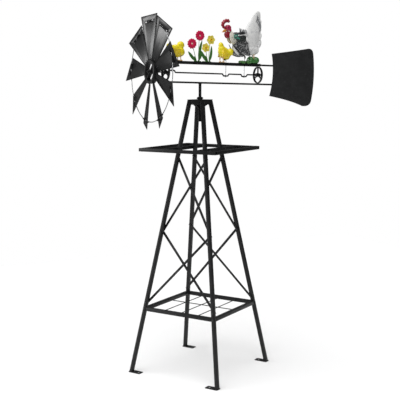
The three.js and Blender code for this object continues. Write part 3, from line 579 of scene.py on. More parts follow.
def quadratic(start, control, end, steps=10):
    """Points on a quadratic curve, without its last point."""
    path = []
    for k in range(steps):
        t = k / steps
        path.append(tuple(
            (1 - t) ** 2 * a + 2 * t * (1 - t) * b + t * t * c
            for a, b, c in zip(start, control, end)
        ))
    return path


def softened(node, body, width):
    """Replaces a faceted CAD node with a copy whose hard edges are rounded over width."""
    bm = bmesh.new()
    bm.from_mesh(frame["nodes"][node].data)
    bmesh.ops.remove_doubles(bm, verts=bm.verts, dist=2e-6)
    bmesh.ops.dissolve_limit(
        bm, angle_limit=math.radians(1.0), verts=bm.verts, edges=bm.edges
    )
    hard = [
        edge
        for edge in bm.edges
        if len(edge.link_faces) == 2 and edge.calc_face_angle(0) > HARD_EDGE
    ]
    bmesh.ops.bevel(
        bm, geom=hard, offset=width * MM, segments=2, profile=0.6,
        affect="EDGES", clamp_overlap=True,
    )
    put(node + "_skin", bm, Matrix.Identity(4), "coat", body, (node,), 30)


# ---- Tower -----------------------------------------------------------------------------

LEGS = {
    "leg_front_left": (-1, -1),
    "leg_front_right": (1, -1),
    "leg_back_right": (1, 1),
    "leg_back_left": (-1, 1),
}
FOOT_LENGTH, FOOT_WIDTH, FOOT_THICKNESS, FOOT_HOLE = 78, 40, 3, 6
SHELF_ROD = 2.5
LEG_BOLT, SMALL_BOLT, CAP_BOLT = (4.4, 4.2), (3.8, 3.4), (3.2, 3.2)  # radius, height
CAP_BOLT_Z = LEG_TOP_Z - 12


def leg(sign_x, sign_y):
    """A rounded square tube that leans inward, welded to its foot plate."""
    rings = []
    for z in (FOOT_THICKNESS * 0.6, LEG_TOP_Z / 2, LEG_TOP_Z):
        x, y = sign_x * leg_half(z), sign_y * leg_half(z)
        rings.append([(x + px, y + py, z) for px, py in rounded(LEG_TUBE, LEG_TUBE, LEG_CORNER)])
    outer = FOOT_HALF + LEG_TUBE / 2
    middle = sign_x * (outer - FOOT_LENGTH / 2)
    hole_x = middle - sign_x * (FOOT_LENGTH - FOOT_WIDTH) / 2
    outline = [(middle + x, sign_y * FOOT_HALF + y) for x, y in rounded(FOOT_LENGTH, FOOT_WIDTH, 6)]
    hole = arc(hole_x, sign_y * FOOT_HALF, FOOT_HOLE, 0, 345, 23)
    plate = moved(sheet([outline, hole], FOOT_THICKNESS, 0.6), at(z=FOOT_THICKNESS / 2))
    foot_x, foot_y = sign_x * FOOT_HALF, sign_y * FOOT_HALF
    bead = [
        (foot_x + x, foot_y + y, FOOT_THICKNESS) for x, y in rounded(LEG_TUBE + 2, LEG_TUBE + 2, 3)
    ]
    return join(loft(rings), plate, wire(bead + bead[:2], 1.7, 8))


for name, signs in LEGS.items():
    put(name + "_tube", leg(*signs), TOWER, "coat", "tower", (name,))

for side in ("front", "right", "back", "left"):
    for tier in ("shelf", "platform"):
        softened(f"{tier}_rail_{side}", "tower", 1.0)
for side in ("left", "right"):
    softened(f"platform_bar_{side}", "tower", 1.0)
for side in ("front", "back"):
    for tier in ("lower", "upper"):
        for layer in (1, 2):
            softened(f"brace_{side}_{tier}_{layer}", "tower", 0.6)
softened("tower_cap", "tower", 0.8)

inside = leg_half(SHELF_TOP_Z - LEG_TUBE / 2) - LEG_TUBE / 2
shelf_z = SHELF_TOP_Z - LEG_TUBE / 2
for i in range(3):
    x = inside * ((i + 1) / 2 - 1)
    rod = wire([(x, -inside - 1, shelf_z), (x, inside + 1, shelf_z)], SHELF_ROD)
    put(f"shelf_rod_{i + 1}", rod, TOWER, "coat", "tower", (f"shelf_wire_{i + 1}",))
cross_z = shelf_z + 2 * SHELF_ROD + 0.1
cross = wire([(-inside - 1, 0, cross_z), (inside + 1, 0, cross_z)], SHELF_ROD)
put("shelf_cross_rod", cross, TOWER, "coat", "tower", ("shelf_cross_wire",))

# Welds where a platform rail meets the next one, and where the shelf's rods meet its rails.
welds = []
corner = PLATFORM_HALF - LEG_TUBE
for sx, sy in LEGS.values():
    seam = [(sx * corner, sy * PLATFORM_HALF, 0), (sx * corner, sy * corner, 0)]
    for z in (PLATFORM_TOP_Z - 0.4, PLATFORM_TOP_Z - PLATFORM_TUBE + 0.4):
        path = bend((*seam[0][:2], z), (*seam[1][:2], z), (0, 0, 0), 16)
        radii = [1.3 + 0.3 * math.sin(k * 1.9) for k in range(len(path))]
        welds.append(wire(path, radii, 8))
for i in range(3):
    for end in (-1, 1):
        x = inside * ((i + 1) / 2 - 1)
        welds.append(ball((x, end * inside, shelf_z), (4, 2.4, 4), detail=2))
put("tower_welds", join(*welds), TOWER, "coat", "tower")

# Bolts: through the legs at the braces and the shelf, at the crossings, and at the cap.
bolts = []


def bolt(x, y, z, towards, size=LEG_BOLT):
    """A bolt head on a face of the tower that looks along towards, in its own frame."""
    spin = Vector((0, 0, 1)).rotation_difference(Vector(towards)).to_matrix().to_4x4()
    place = at(x, y, z) @ spin @ turn(rng.random(), "Z")
    bolts.append(moved(hexagon_bolt(*size), place))


for z in BRACE_LEVELS:
    half = leg_half(z)
    for sx, sy in LEGS.values():
        bolt(sx * half, sy * (half + LEG_TUBE / 2), z, (0, sy, LEG_SLOPE))
        bolt(sx * half, sy * (half - LEG_TUBE / 2 - 6), z, (0, -sy, -LEG_SLOPE), SMALL_BOLT)
for low, high in zip(BRACE_LEVELS, BRACE_LEVELS[1:]):
    # the two braces of a tier cross where their lines meet
    z = low + (high - low) * leg_half(low) / (leg_half(low) + leg_half(high))
    for sy in (-1, 1):
        face = leg_half(z) - LEG_TUBE / 2
        bolt(0, sy * (face - 0.2), z, (0, sy, LEG_SLOPE), SMALL_BOLT)
        bolt(0, sy * (face - 2 * BRACE_THICKNESS - 0.9), z, (0, -sy, -LEG_SLOPE), SMALL_BOLT)
for sx, sy in LEGS.values():
    half = leg_half(shelf_z)
    bolt(sx * (half + LEG_TUBE / 2), sy * half, shelf_z, (sx, 0, LEG_SLOPE))
    bolt(sx * half, sy * (half + LEG_TUBE / 2), shelf_z, (0, sy, LEG_SLOPE))
    half = leg_half(CAP_BOLT_Z)
    bolt(sx * (half + LEG_TUBE / 2), sy * half, CAP_BOLT_Z, (sx, 0, LEG_SLOPE), CAP_BOLT)
    bolt(sx * half, sy * (half + LEG_TUBE / 2), CAP_BOLT_Z, (0, sy, LEG_SLOPE), CAP_BOLT)
bar_z = PLATFORM_TOP_Z - PLATFORM_TUBE / 2
bar_outer = leg_half(PLATFORM_TOP_Z - PLATFORM_TUBE) + LEG_TUBE * 1.5 + GAP
for sx in (-1, 1):
    for sy in (-1, 1):
        bolt(sx * bar_outer, sy * leg_half(bar_z), bar_z, (sx, 0, 0))
put("tower_bolts", join(*bolts), TOWER, "bolt", "tower")

# ---- Swivel ----------------------------------------------------------------------------

SLEEVE_LENGTH, SLEEVE_RADIUS, SLEEVE_BORE, SPINDLE_RADIUS = 122, 12, 8.4, 8
COLLAR_RADIUS, COLLAR_HEIGHT = 14, 14
sleeve_low = CAP_TOP_Z - SLEEVE_LENGTH
sleeve = lathe([
    (SLEEVE_BORE, sleeve_low + 0.6), (9, sleeve_low), (11.4, sleeve_low),
    (SLEEVE_RADIUS, sleeve_low + 0.6), (SLEEVE_RADIUS, CAP_TOP_Z - 0.6), (11.4, CAP_TOP_Z),
    (9, CAP_TOP_Z), (SLEEVE_BORE, CAP_TOP_Z - 0.6), (SLEEVE_BORE, sleeve_low + 0.6),
])
put("sleeve_tube", sleeve, AXIS, "coat", "tower", ("pivot_sleeve",))
pin_top = HEAD_Z - RAIL_RADIUS + 1.5
pin = lathe([
    (0, sleeve_low + 8), (7, sleeve_low + 8), (SPINDLE_RADIUS, sleeve_low + 9.5),
    (SPINDLE_RADIUS, pin_top - 4),
    (9.6, pin_top - 2.4), (9.9, pin_top - 0.8), (8.6, pin_top), (0, pin_top),
])
put("spindle_rod", pin, AXIS, "coat", "head", ("spindle",))
low = CAP_TOP_Z + GAP
high = low + COLLAR_HEIGHT
collar = lathe([
    (8.1, low), (13, low), (COLLAR_RADIUS, low + 1), (COLLAR_RADIUS, high - 1), (13, high),
    (8.1, high), (8.1, low),
])
put("collar_ring", collar, AXIS, "coat", "head", ("stop_collar",))
screws = []
for sign in (-1, 1):
    spin = turn(sign * math.pi / 2, "Y")
    screws.append(moved(hexagon_bolt(4, 6.5), at(sign * 12.5, 0, (low + high) / 2) @ spin))
put("collar_screws", join(*screws), AXIS, "bolt", "head")

# ---- Head ------------------------------------------------------------------------------


def rod_with_caps(start, end, radius, z):
    """A rod along X with rounded ends."""
    points = [(start, 0, z), (start + 0.3 * radius, 0, z), (start + radius, 0, z),
              (end - radius, 0, z), (end - 0.3 * radius, 0, z), (end, 0, z)]
    return wire(points, [radius * f for f in (0.45, 0.85, 1, 1, 0.85, 0.45)], 28)


rail = rod_with_caps(RAIL_FRONT, RAIL_REAR, RAIL_RADIUS, 0)
put("lower_rail_rod", rail, HEAD, "coat", "head", ("lower_rail",))
rail = rod_with_caps(TAIL_ROD_FRONT, RAIL_REAR, RAIL_RADIUS, TAIL_ROD_Z)
put("tail_rod_rod", rail, HEAD, "coat", "head", ("tail_rod",))
softened("figure_bar", "head", 0.7)
for name in BEARINGS:
    softened(name, "head", 0.7)

collars = []
for x in BEARINGS.values():
    for side in (-1, 1):
        ring = lathe(
            [(4.4, -3), (8.4, -3), (9, -2.4), (9, 2.4), (8.4, 3), (4.4, 3), (4.4, -3)], 24
        )
        collars.append(moved(ring, at(x + side * 12.5, 0, CRANK_Z) @ turn(math.pi / 2, "Y")))
put("shaft_collars", join(*collars), HEAD, "bolt", "rotor")

VANE = {
    "inner": 450, "outer": 742, "inner_top": 176, "inner_low": -66, "mid_top": 196,
    "mid_low": -90, "top": 215, "low": -119, "corner": 32, "hollow": 34, "bulge": 24,
    "inner_lean": 8, "outer_lean": 4,
}


def vane_outline(inset):
    """The vane's outline in the head's XZ plane, drawn in by inset all round."""
    v = VANE
    left, right, c = v["inner"], v["outer"], v["corner"]
    middle = (v["top"] + v["low"]) / 2
    points = quadratic((left, v["inner_low"]), (RAIL_REAR, v["mid_low"]),
                       (right - 2 * c, v["low"] - 2), 14)
    points += quadratic((right - 2 * c, v["low"] - 2), (right - c / 4, v["low"] - c / 4),
                        (right, v["low"] + c), 10)
    points += quadratic((right, v["low"] + c), (right + v["bulge"], middle),
                        (right + v["outer_lean"], v["top"] - c), 16)
    points += quadratic((right + v["outer_lean"], v["top"] - c), (right, v["top"] + 2),
                        (right - c, v["top"]), 10)
    points += quadratic((right - c, v["top"]), (RAIL_REAR, v["mid_top"]),
                        (left + v["inner_lean"], v["inner_top"]), 14)
    points += quadratic((left + v["inner_lean"], v["inner_top"]),
                        (left + v["hollow"], (v["inner_top"] + v["inner_low"]) / 2),
                        (left, v["inner_low"]), 14)
    if inset == 0:
        return points
    count, drawn = len(points), []
    for i, point in enumerate(points):
        before, after = Vector(points[i - 1]), Vector(points[(i + 1) % count])
        along = (after - before).normalized()
        inward = Vector((-along.y, along.x))
        drawn.append(tuple(Vector(point) + inward * inset))
    return drawn


vane_sheet = sheet([vane_outline(0)], VANE_THICKNESS, 0.5)
vane_hem = sheet([vane_outline(0), vane_outline(5)], VANE_THICKNESS + 1.6, 0.7)
stand = HEAD @ at(y=VANE_Y) @ turn(math.pi / 2, "X")
# The vane takes the lighter coat: painted light.
put("vane_sheet", join(vane_sheet, vane_hem), stand, "vane", "head",
    ("tail_vane",))

# The vane hangs on the two rails by clips, each with two bolts, behind the sheet.
clips, clip_bolts = [], []
for x, z in ((498, TAIL_ROD_Z), (585, TAIL_ROD_Z), (498, 0), (585, 0)):
    strap = []
    for y, dz in ((-5.6, -15), (-5.6, -8), (-1, -6.2), (4, -4.4), (5.9, 0), (4, 4.4), (-1, 6.2),
                  (-5.6, 8), (-5.6, 15)):
        strap.append((y, dz))
    rings = []
    for y, dz in strap:
        rings.append([(x - 7, y, z + dz), (x + 7, y, z + dz), (x + 7, y + 1.4, z + dz * 1.16),
                      (x - 7, y + 1.4, z + dz * 1.16)])
    clips.append(loft(rings))
    for dz in (-12, 12):
        spin = turn(-math.pi / 2, "X")
        clip_bolts.append(moved(hexagon_bolt(2.8, 3.2), at(x, -4.2, z + dz) @ spin))
put("vane_clips", join(*clips), HEAD, "coat", "head", sharp=60)
put("vane_clip_bolts", join(*clip_bolts), HEAD, "bolt", "head")

# ---- Fan and crankshaft ----------------------------------------------------------------


def crank_line():
    """The shaft's centre line: straight, with a smooth throw at each push rod."""
    path, steps = [], 360
    for k in range(steps + 1):
        x = SHAFT_FRONT + (SHAFT_REAR - SHAFT_FRONT) * k / steps
        z = 0.0
        for _, rod_x, side, _ in RODS:
            t = min(1.0, max(0.0, (THROW_FLAT + THROW_RAMP - abs(x - rod_x)) / THROW_RAMP))
            z += side * THROW * t * t * (3 - 2 * t)
        path.append((x, 0, CRANK_Z + z))
    return path


put("crank_rod", wire(crank_line(), SHAFT_RADIUS, 16), HEAD, "coat", "rotor", ("crankshaft",))
softened("fan_hub", "rotor", 0.7)
nut = join(
    lathe([(0, 0), (11, 0), (11, 1.6), (0, 1.6)], 28),
    moved(hexagon_bolt(6.5, 7), at(z=0.8)),
    lathe([(0, 7), (3.8, 7), (3.8, 9.2), (2.6, 10.6), (0, 10.8)], 20),
)
put("shaft_nut", moved(nut, at(z=14)), FAN, "bolt", "rotor")

circle = [
    (RING_RADIUS * math.cos(a), RING_RADIUS * math.sin(a), 0)
    for a in (2 * math.pi * k / 180 for k in range(181))
]
put("ring_wire", wire(circle, RING_WIRE * 0.92, 12), FAN, "wire", "rotor",
    ("wire_ring",))

SLOT_LENGTH, SLOT_WIDTH = 34, 4.5
HEM = 4.5


def scoop(front):
    """A pressed half-cone over half of the slot, on the side where the ring leaves the sheet."""
    rings = []
    for k in range(9):
        s = (SLOT_LENGTH + 1.5) * k / 8
        height = s * math.tan(BLADE_PITCH) + RING_WIRE + 0.6
        arc_out, arc_in = [], []
        for j in range(9):
            a = math.pi * j / 8
            for arcs, wall in ((arc_out, 0.9), (arc_in, 0.0)):
                arcs.append((
                    RING_RADIUS + (SLOT_WIDTH + 0.3 + wall) * math.cos(a), -front * s,
                    front * (height + wall) * math.sin(a),
                ))
        rings.append(arc_out + arc_in[::-1])
    return loft(rings)


def blade():
    """A tapered sheet with a riveted lug at its root, and the folds on it: the hem all round
    and the pressed lips of the ring's slot."""
    outer = [(BLADE_ROOT, -BLADE_ROOT_HALF), (BLADE_TIP, -BLADE_TIP_HALF),
             (BLADE_TIP, BLADE_TIP_HALF), (BLADE_ROOT, BLADE_ROOT_HALF)]
    slope = (BLADE_TIP_HALF - BLADE_ROOT_HALF) / (BLADE_TIP - BLADE_ROOT)
    drawn = HEM * math.sqrt(1 + slope * slope)
    low, high = BLADE_ROOT + HEM, BLADE_TIP - HEM
    low_half = BLADE_ROOT_HALF + slope * HEM - drawn
    high_half = BLADE_TIP_HALF - slope * HEM - drawn
    inner = [(low, -low_half), (high, -high_half), (high, high_half), (low, low_half)]
    slot = [
        (RING_RADIUS + x, y) for x, y in rounded(2 * SLOT_WIDTH, 2 * SLOT_LENGTH, SLOT_WIDTH - 0.5)
    ]
    lip_outer = [
        (RING_RADIUS + x, y)
        for x, y in rounded(2 * SLOT_WIDTH + 5, 2 * SLOT_LENGTH + 5, SLOT_WIDTH + 1.5)
    ]
    lug = moved(
        sheet([rounded(34, 20, 5)], 2.4, 0.5), at(BLADE_ROOT + 16.5, 0, -BLADE_THICKNESS)
    )
    rivets = []
    for x in (BLADE_ROOT + 9, BLADE_ROOT + 24):
        for side in (-1, 1):
            dome = lathe([(0, 1.9), (1.6, 1.6), (2.8, 0.8), (3.2, 0), (0, 0)], 16)
            flip = turn(0 if side > 0 else math.pi, "X")
            rivets.append(moved(dome, at(x, 0, side * 0.6 - (1.8 if side < 0 else 0)) @ flip))
    flat = join(sheet([outer, slot], BLADE_THICKNESS, 0.3), lug, *rivets)
    folds = join(
        sheet([outer, inner], BLADE_THICKNESS + 1.5, 0.6),
        sheet([lip_outer, slot], BLADE_THICKNESS + 1.2, 0.5),
        scoop(1),
        scoop(-1),
    )
    return flat, folds


for number in range(BLADES):
    place = FAN @ turn(-FIRST_BLADE - number * 2 * math.pi / BLADES, "Z") @ turn(BLADE_PITCH, "X")
    name = f"blade_{number + 1}"
    flat, folds = blade()
    put(name + "_sheet", flat, place, "blade", "rotor", (name,), 30)
    # The folds take the darker coat: painted shade along them.
    put(name + "_folds", folds, place, "hem", "rotor", sharp=30)

# ---- Push rods -------------------------------------------------------------------------

for name, x, side, top in RODS:
    pin_z = CRANK_Z + side * THROW
    ring = SHAFT_RADIUS + 1.9
    eye = [
        (x, ring * math.sin(a), pin_z - ring * math.cos(a))
        for a in (math.pi + 2 * math.pi * k / 40 for k in range(41))
    ]
    stem = [(x, 0, pin_z + ring - 0.4), (x, 0, pin_z + ring + 3), (x, 0, top)]
    rod = join(wire(eye, ROD_RADIUS, 12), wire(stem, ROD_RADIUS, 12))
    put(name + "_wire", rod, HEAD, "rod", name, (name,))

# ---- Flowers ---------------------------------------------------------------------------

FOOT_Z = BAR_TOP + GAP
STRIP_WIDTH, STRIP_THICKNESS = 12, 3
FLOWER_FACE = (0, -1, 0)


def daisy(x, z, radius, petals, lean):
    """Two rows of rounded petals round a low heart, as (petals, heart) bmeshes."""
    rows = []
    for row, (reach, start, y) in enumerate(((1.0, 0.0, 1.2), (0.82, 0.5, -1.6))):
        for k in range(petals):
            a = 2 * math.pi * (k + start) / petals + lean
            out = Vector((math.cos(a), 0, math.sin(a)))
            tip = out * radius * reach * rng.uniform(0.95, 1.0)
            root = out * 3 + Vector((0, y, 0))
            path = bend(root, tip + Vector((0, y - 2.4, 0)), (0, -1.6, 0), 8)
            width = petal_width(radius * (0.27 if row == 0 else 0.24), 0.66, 0.4)
            rows.append(blade_along(path, width, FLOWER_FACE, 2.4, 0.12))
    heart = lathe([(0, 3.2), (2.6, 2.9), (4.6, 1.6), (5.4, 0), (4.6, -2.2), (0, -2.4)], 20)
    place = at(x, -3, z)
    heart = moved(heart, place @ at(y=-2.6) @ turn(math.pi / 2, "X"))
    calyx = lathe([(0, -4), (3.4, -4), (6.5, 0), (0, 0)], 16)
    calyx = moved(calyx, place @ at(y=1) @ turn(math.pi / 2, "X"))
    return moved(join(*rows), place), heart, calyx


def narcissus(x, z, radius, lean):
    """Six pointed petals round a frilled trumpet, as (petals, trumpet, calyx)."""
    petals = []
    for k in range(6):
        a = 2 * math.pi * k / 6 + lean
        out = Vector((math.cos(a), 0, math.sin(a)))
        y = 0.0 if k % 2 else 1.2
        path = bend(out * 2 + Vector((0, y, 0)), out * radius + Vector((0, y - 2.5, 0)),
                    (0, 1.4, 0), 9)
        width = petal_width(radius * 0.42, 0.52, 0.45)
        petals.append(blade_along(path, width, FLOWER_FACE, 2.4, 0.14))
    frill = []
    for height, wide, ripple in ((0, 4.2, 0), (3, 4.6, 0), (6, 5.6, 0.1), (8.4, 7.4, 0.5),
                                 (8.9, 7.2, 0.5), (6.4, 4.9, 0.1), (2.4, 3.6, 0)):
        frill.append([
            ((wide + ripple * math.cos(8 * a)) * math.cos(a), -height,
             (wide + ripple * math.cos(8 * a)) * math.sin(a))
            for a in (2 * math.pi * j / 32 for j in range(32))
        ])
    place = at(x, -3, z)
    calyx = lathe([(0, -5), (2.6, -5), (4.4, 0), (0, 0)], 16)
    calyx = moved(calyx, place @ at(y=1) @ turn(math.pi / 2, "X"))
    return moved(join(*petals), place), moved(loft(frill), place), calyx


def flower_leaf(foot, x, height, width, sag):
    path = bend((foot, 1, FOOT_Z + 1.5), (x, -1, FOOT_Z + height), sag, 14)
    return blade_along(path, petal_width(width, 0.5, 0.35), FLOWER_FACE, 2.0, 0.18)


def flower_stem(foot, x, height, sag):
    path = bend((foot, 1.5, FOOT_Z + 1), (x, 1.5, FOOT_Z + height), sag, 14)
    radii = [1.9 - 0.5 * k / 14 for k in range(15)]
    return wire(path, radii, 12)


def foot_strip(start, end):
    """The narrow base that a group of flowers stands on."""
    place = at((start + end) / 2, 0, FOOT_Z + STRIP_THICKNESS / 2)
    return moved(sheet([rounded(end - start, STRIP_WIDTH, 4)], STRIP_THICKNESS, 0.8), place)


parts = [daisy(-57, FOOT_Z + 96, 30, 12, 0.2), daisy(-9, FOOT_Z + 141, 30, 12, 0.35)]
put("red_flower_petals", join(*(p[0] for p in parts)), HEAD, "petal", "head",
    ("red_flowers",), 50)
put("red_flower_hearts", join(*(p[1] for p in parts)), HEAD, "heart", "head")
stems = [flower_stem(-28, -57, 96, (4, 0, 0)), flower_stem(-10, -9, 141, (-2, 0, 0))]
stems += [p[2] for p in parts]
put("red_flower_stems", join(*stems), HEAD, "stem", "head")
leaves = [
    flower_leaf(-26, -78, 54, 9, (-2, 0, -3)),
    flower_leaf(-14, 5, 60, 8, (4, 0, 0)),
    flower_leaf(-9, 8, 118, 8.5, (-5, 2, -2)),
    flower_leaf(-24, -38, 30, 4.5, (-2, 0, 2)),
]
put("red_flower_leaves", join(*leaves, foot_strip(-40, 4)), HEAD, "leaf", "head")

parts = [narcissus(29, FOOT_Z + 77, 26, 0.35), narcissus(60, FOOT_Z + 121, 27, 0.1)]
put("daffodil_petals", join(*(p[0] for p in parts)), HEAD, "daffodil", "head",
    ("daffodils",), 50)
put("daffodil_trumpets", join(*(p[1] for p in parts)), HEAD, "trumpet", "head", sharp=50)
stems = [flower_stem(42, 29, 77, (2, 0, 0)), flower_stem(54, 60, 121, (-3, 0, 0))]
stems += [p[2] for p in parts]
put("daffodil_stems", join(*stems), HEAD, "stem", "head")
leaves = [
    flower_leaf(40, 4, 58, 9, (-3, 0, -2)),
    flower_leaf(54, 66, 90, 8, (4, 0, -6)),
    flower_leaf(46, 24, 36, 5, (2, 0, 0)),
]
put("daffodil_leaves", join(*leaves, foot_strip(12, 66)), HEAD, "leaf", "head")

# ---- Chicks ----------------------------------------------------------------------------


def mirrored(make):
    """The same piece on both sides: make(side) with side -1 for the near one."""
    return [make(side) for side in (-1, 1)]


def chick(name, place, belly, breast):
    """A chick about its pivot, its head towards +X: body, wings, beak and eyes."""
    lumps = [
        ball(*belly),
        ball(*breast),
        ball((-26, 0, 34), (27, 20, 22), 0.6),
        ball((-43, 0, 47), (22, 14, 15), 0.6),
        ball((-51, 0, 54), (10, 9, 8), 0.8),
        ball((-4, 0, 42), (26, 19, 18), 0.3),
        ball((20, 0, 42), (18, 17, 20)),
        ball((22, 0, 59), (20.5, 18, 20)),
        ball((31, -9, 54), (9, 7, 8)),
        ball((31, 9, 54), (9, 7, 8)),
    ]
    put(name + "_body", soft_skin(lumps, 1.5, 6), place, "yellow", name, (name,), 60)

    def wing(side):
        feathers = [ball((-4, side * 22, 24), (25, 6.5, 15), 0.3)]
        for k in range(5):
            root = (12 - 4 * k, side * (23.5 - 0.3 * k), 36 - 7 * k)
            tip = (-38 + 6 * k, side * (24.5 - 1.0 * k), 42 - 9 * k)
            path = bend(root, tip, (0, side * 4, -4), 10)
            feathers.append(blade_along(path, petal_width(6, 0.45, 0.5), (0, side, 0.15), 4))
        return join(*feathers)

    # The wings take the darker yellow: painted shade.
    put(name + "_wings", join(*mirrored(wing)), place, "ochre", name, sharp=50)
    tail = []
    for k in range(5):
        y = (k - 2) * 4.0
        path = bend((-38, y * 1.1, 50), (-58 + abs(y) * 0.7, y * 1.5, 61 - abs(y) * 0.7),
                    (2, 0, 3), 8)
        tail.append(blade_along(path, petal_width(5, 0.5, 0.6), (0.3, y * 0.05, 1), 3))
    put(name + "_tail", join(*tail), place, "yellow", name, sharp=50)
    upper = loft([
        [(37 + x, y * (1 - x / 12.5), 56.5 + z * (1 - x / 14) - 0.02 * x * x)
         for y, z in ((-4.6, 0), (-3, 2.8), (0, 4), (3, 2.8), (4.6, 0), (0, -0.8))]
        for x in (0, 4, 7, 9.5, 11)
    ])
    lower = loft([
        [(37 + x, y * (1 - x / 10.5), 55 + z * (1 - x / 11))
         for y, z in ((-3.8, 0), (0, 0.6), (3.8, 0), (2.4, -2.2), (0, -3), (-2.4, -2.2))]
        for x in (0, 3.5, 6, 8.2)
    ])
    put(name + "_beak", join(upper, lower), place, "beak", name, sharp=50)
    eyes = mirrored(lambda side: ball((33.5, side * 14.6, 63), (2.8, 2.0, 2.8)))
    put(name + "_eyes", join(*eyes), place, "eye", name)


chick("chick_1", CHICK_1, ((3, 0, 20), (44, 25, 28)), ((14, 0, 22), (31, 25.5, 28)))
chick("chick_2", CHICK_2, ((-2, 0, 25), (42, 25, 26)), ((8, 0, 30), (30, 25, 26)))


def chick_stand(name, x):
    """Two legs with three toes each, on a small foot plate, and the pivot pin."""
    plate = moved(sheet([rounded(20, 46, 5)], 2, 0.6), at(x + 1, 0, FOOT_Z + 1))
    pin = bend((x, -20.5, CHICK_PIVOT_Z), (x, 20.5, CHICK_PIVOT_Z), (0, 0, 0), 3)
    parts = [plate, wire(pin, 2)]
    for side in (-1, 1):
        y = side * CHICK_LEG_Y
        shin = [(x + 0.5, y, FOOT_Z + 2), (x + 0.5, y, FOOT_Z + 7), (x - 0.3, y, FOOT_Z + 13),
                (x - 0.8, y, FOOT_Z + 18), (x, y, CHICK_PIVOT_Z - 2), (x, y, CHICK_PIVOT_Z + 3)]
        parts.append(wire(shin, [2.3, 2.1, 2.2, 2.7, 3.4, 3.6], 14))
        for angle in (-0.5, 0.0, 0.5, math.pi):
            reach = 7 if angle == math.pi else 11
            tip = (x + reach * math.cos(angle), y + side * 4 * math.sin(angle), FOOT_Z + 2.6)
            toe = bend((x, y, FOOT_Z + 4.4), tip, (0, 0, 0.8), 6)
            parts.append(wire(toe, [2.1, 2.0, 1.8, 1.9, 1.6, 1.2, 0.5], 10))
    put(name + "_legs", join(*parts), HEAD, "cream", "head", (name,), 50)


chick_stand("chick_1_stand", CHICK_1_X)
chick_stand("chick_2_stand", CHICK_2_X)

# A small bracket under each figure takes the rod's top.
for name, place, x, z, tipped in (
    ("chick_1", CHICK_1, -42 - CHICK_1_SHIFT, 12, 0.0),
    ("chick_2", CHICK_2, 21.5, 9.5, -CHICK_2_TIP),
    ("rooster", ROOSTER, -56, -22, 0.0),
):
    tab = moved(sheet([rounded(9, 14, 3)], 2.2, 0.5), turn(math.pi / 2, "X") @ turn(tipped, "Z"))
    put(name + "_bracket", moved(tab, at(x, -4.5, z - 7)), place, "bolt", name)

# ---- Rooster ---------------------------------------------------------------------------


def rooster_piece(name, parts, paint):
    put("rooster_" + name, join(*parts), ROOSTER, paint, "rooster", sharp=50)


body = soft_skin([
    ball((-86, 0, 20), (50, 33, 40), 0.25),
    ball((-102, 0, 40), (32, 26, 34), -0.5),
    ball((-68, 0, 46), (34, 27, 28), 0.4),
], 2, 6)
rod_x = REAR_ROD_X - ROOSTER_X
# the rear push rod's top rises and falls in a hollow under the breast
body = hollowed(body, (rod_x - 14, -14, -60), (rod_x + 12, 14, 12))
put("rooster_body", body, ROOSTER, "breast", "rooster", ("rooster",), 60)

# The white thighs, saddle and tail: the front, rear and half width at each height.
SADDLE = (
    (-14, -26, 10, 8), (-6, -40, 22, 15), (14, -45, 26, 19), (33, -46, 28, 21),
    (60, -52, 35, 24), (85, -60, 39, 25), (102, -62, 40, 24), (125, -57, 40, 21),
    (150, -46, 40, 18), (175, -32, 40, 14), (200, -16, 41, 10), (216, -4, 40, 7),
    (227, 8, 37, 4), (232, 18, 32, 2),
)
rings = []
angles = [2 * math.pi * k / 40 for k in range(40)]
for z, front, rear, half in SADDLE:
    rings.append([
        ((front + rear) / 2 + (rear - front) / 2 * math.cos(a), half * math.sin(a), z)
        for a in angles
    ])
put("rooster_saddle", loft(rings), ROOSTER, "plume", "rooster", sharp=60)

neck = soft_skin([
    ball((-120, 0, 58), (22, 19, 40), -0.75),
    ball((-142, 0, 86), (16, 14, 34), -0.6),
    ball((-164, 0, 122), (16, 13, 18)),
], 1.6, 6)
put("rooster_neck", neck, ROOSTER, "hackle", "rooster", sharp=60)


def lerp(a, b, t):
    return a + (b - a) * t


def between(start, end):
    """A point that runs from start to end with t, on the side s: y is measured outward."""
    return lambda t, s: (
        lerp(start[0], end[0], t), s * lerp(start[1], end[1], t), lerp(start[2], end[2], t)
    )


def feather_row(count, root, tip, sag, width, look=(0, 1, 0), thickness=3.2, jitter=0.6):
    """Feathers on both sides. root, tip, sag and look are functions of (t, side) or fixed,
    with y measured outward, and t runs from 0 to 1 along the row."""
    feathers = []
    for side in (-1, 1):
        for k in range(count):
            t = k / max(1, count - 1)
            ends = []
            for value in (root, tip, sag, look):
                if callable(value):
                    ends.append(Vector(value(t, side)))
                else:
                    ends.append(Vector((value[0], side * value[1], value[2])))
            wobble = Vector([rng.uniform(-jitter, jitter) for _ in range(3)])
            path = bend(ends[0], ends[1] + wobble, ends[2], 12)
            half = petal_width(width, 0.6, 0.4)
            feathers.append(blade_along(path, half, ends[3], thickness, -0.1))
    return feathers


# Neck hackles: long narrow feathers that hang from the nape over the shoulders.
hackles = feather_row(
    9, between((-150, 8, 116), (-160, 10, 98)), between((-98, 19, 66), (-136, 20, 42)),
    (-9, 6, 0), 5.2, (0.1, 1, 0.1), jitter=1.2,
)
rooster_piece("hackles", hackles, "hackle")

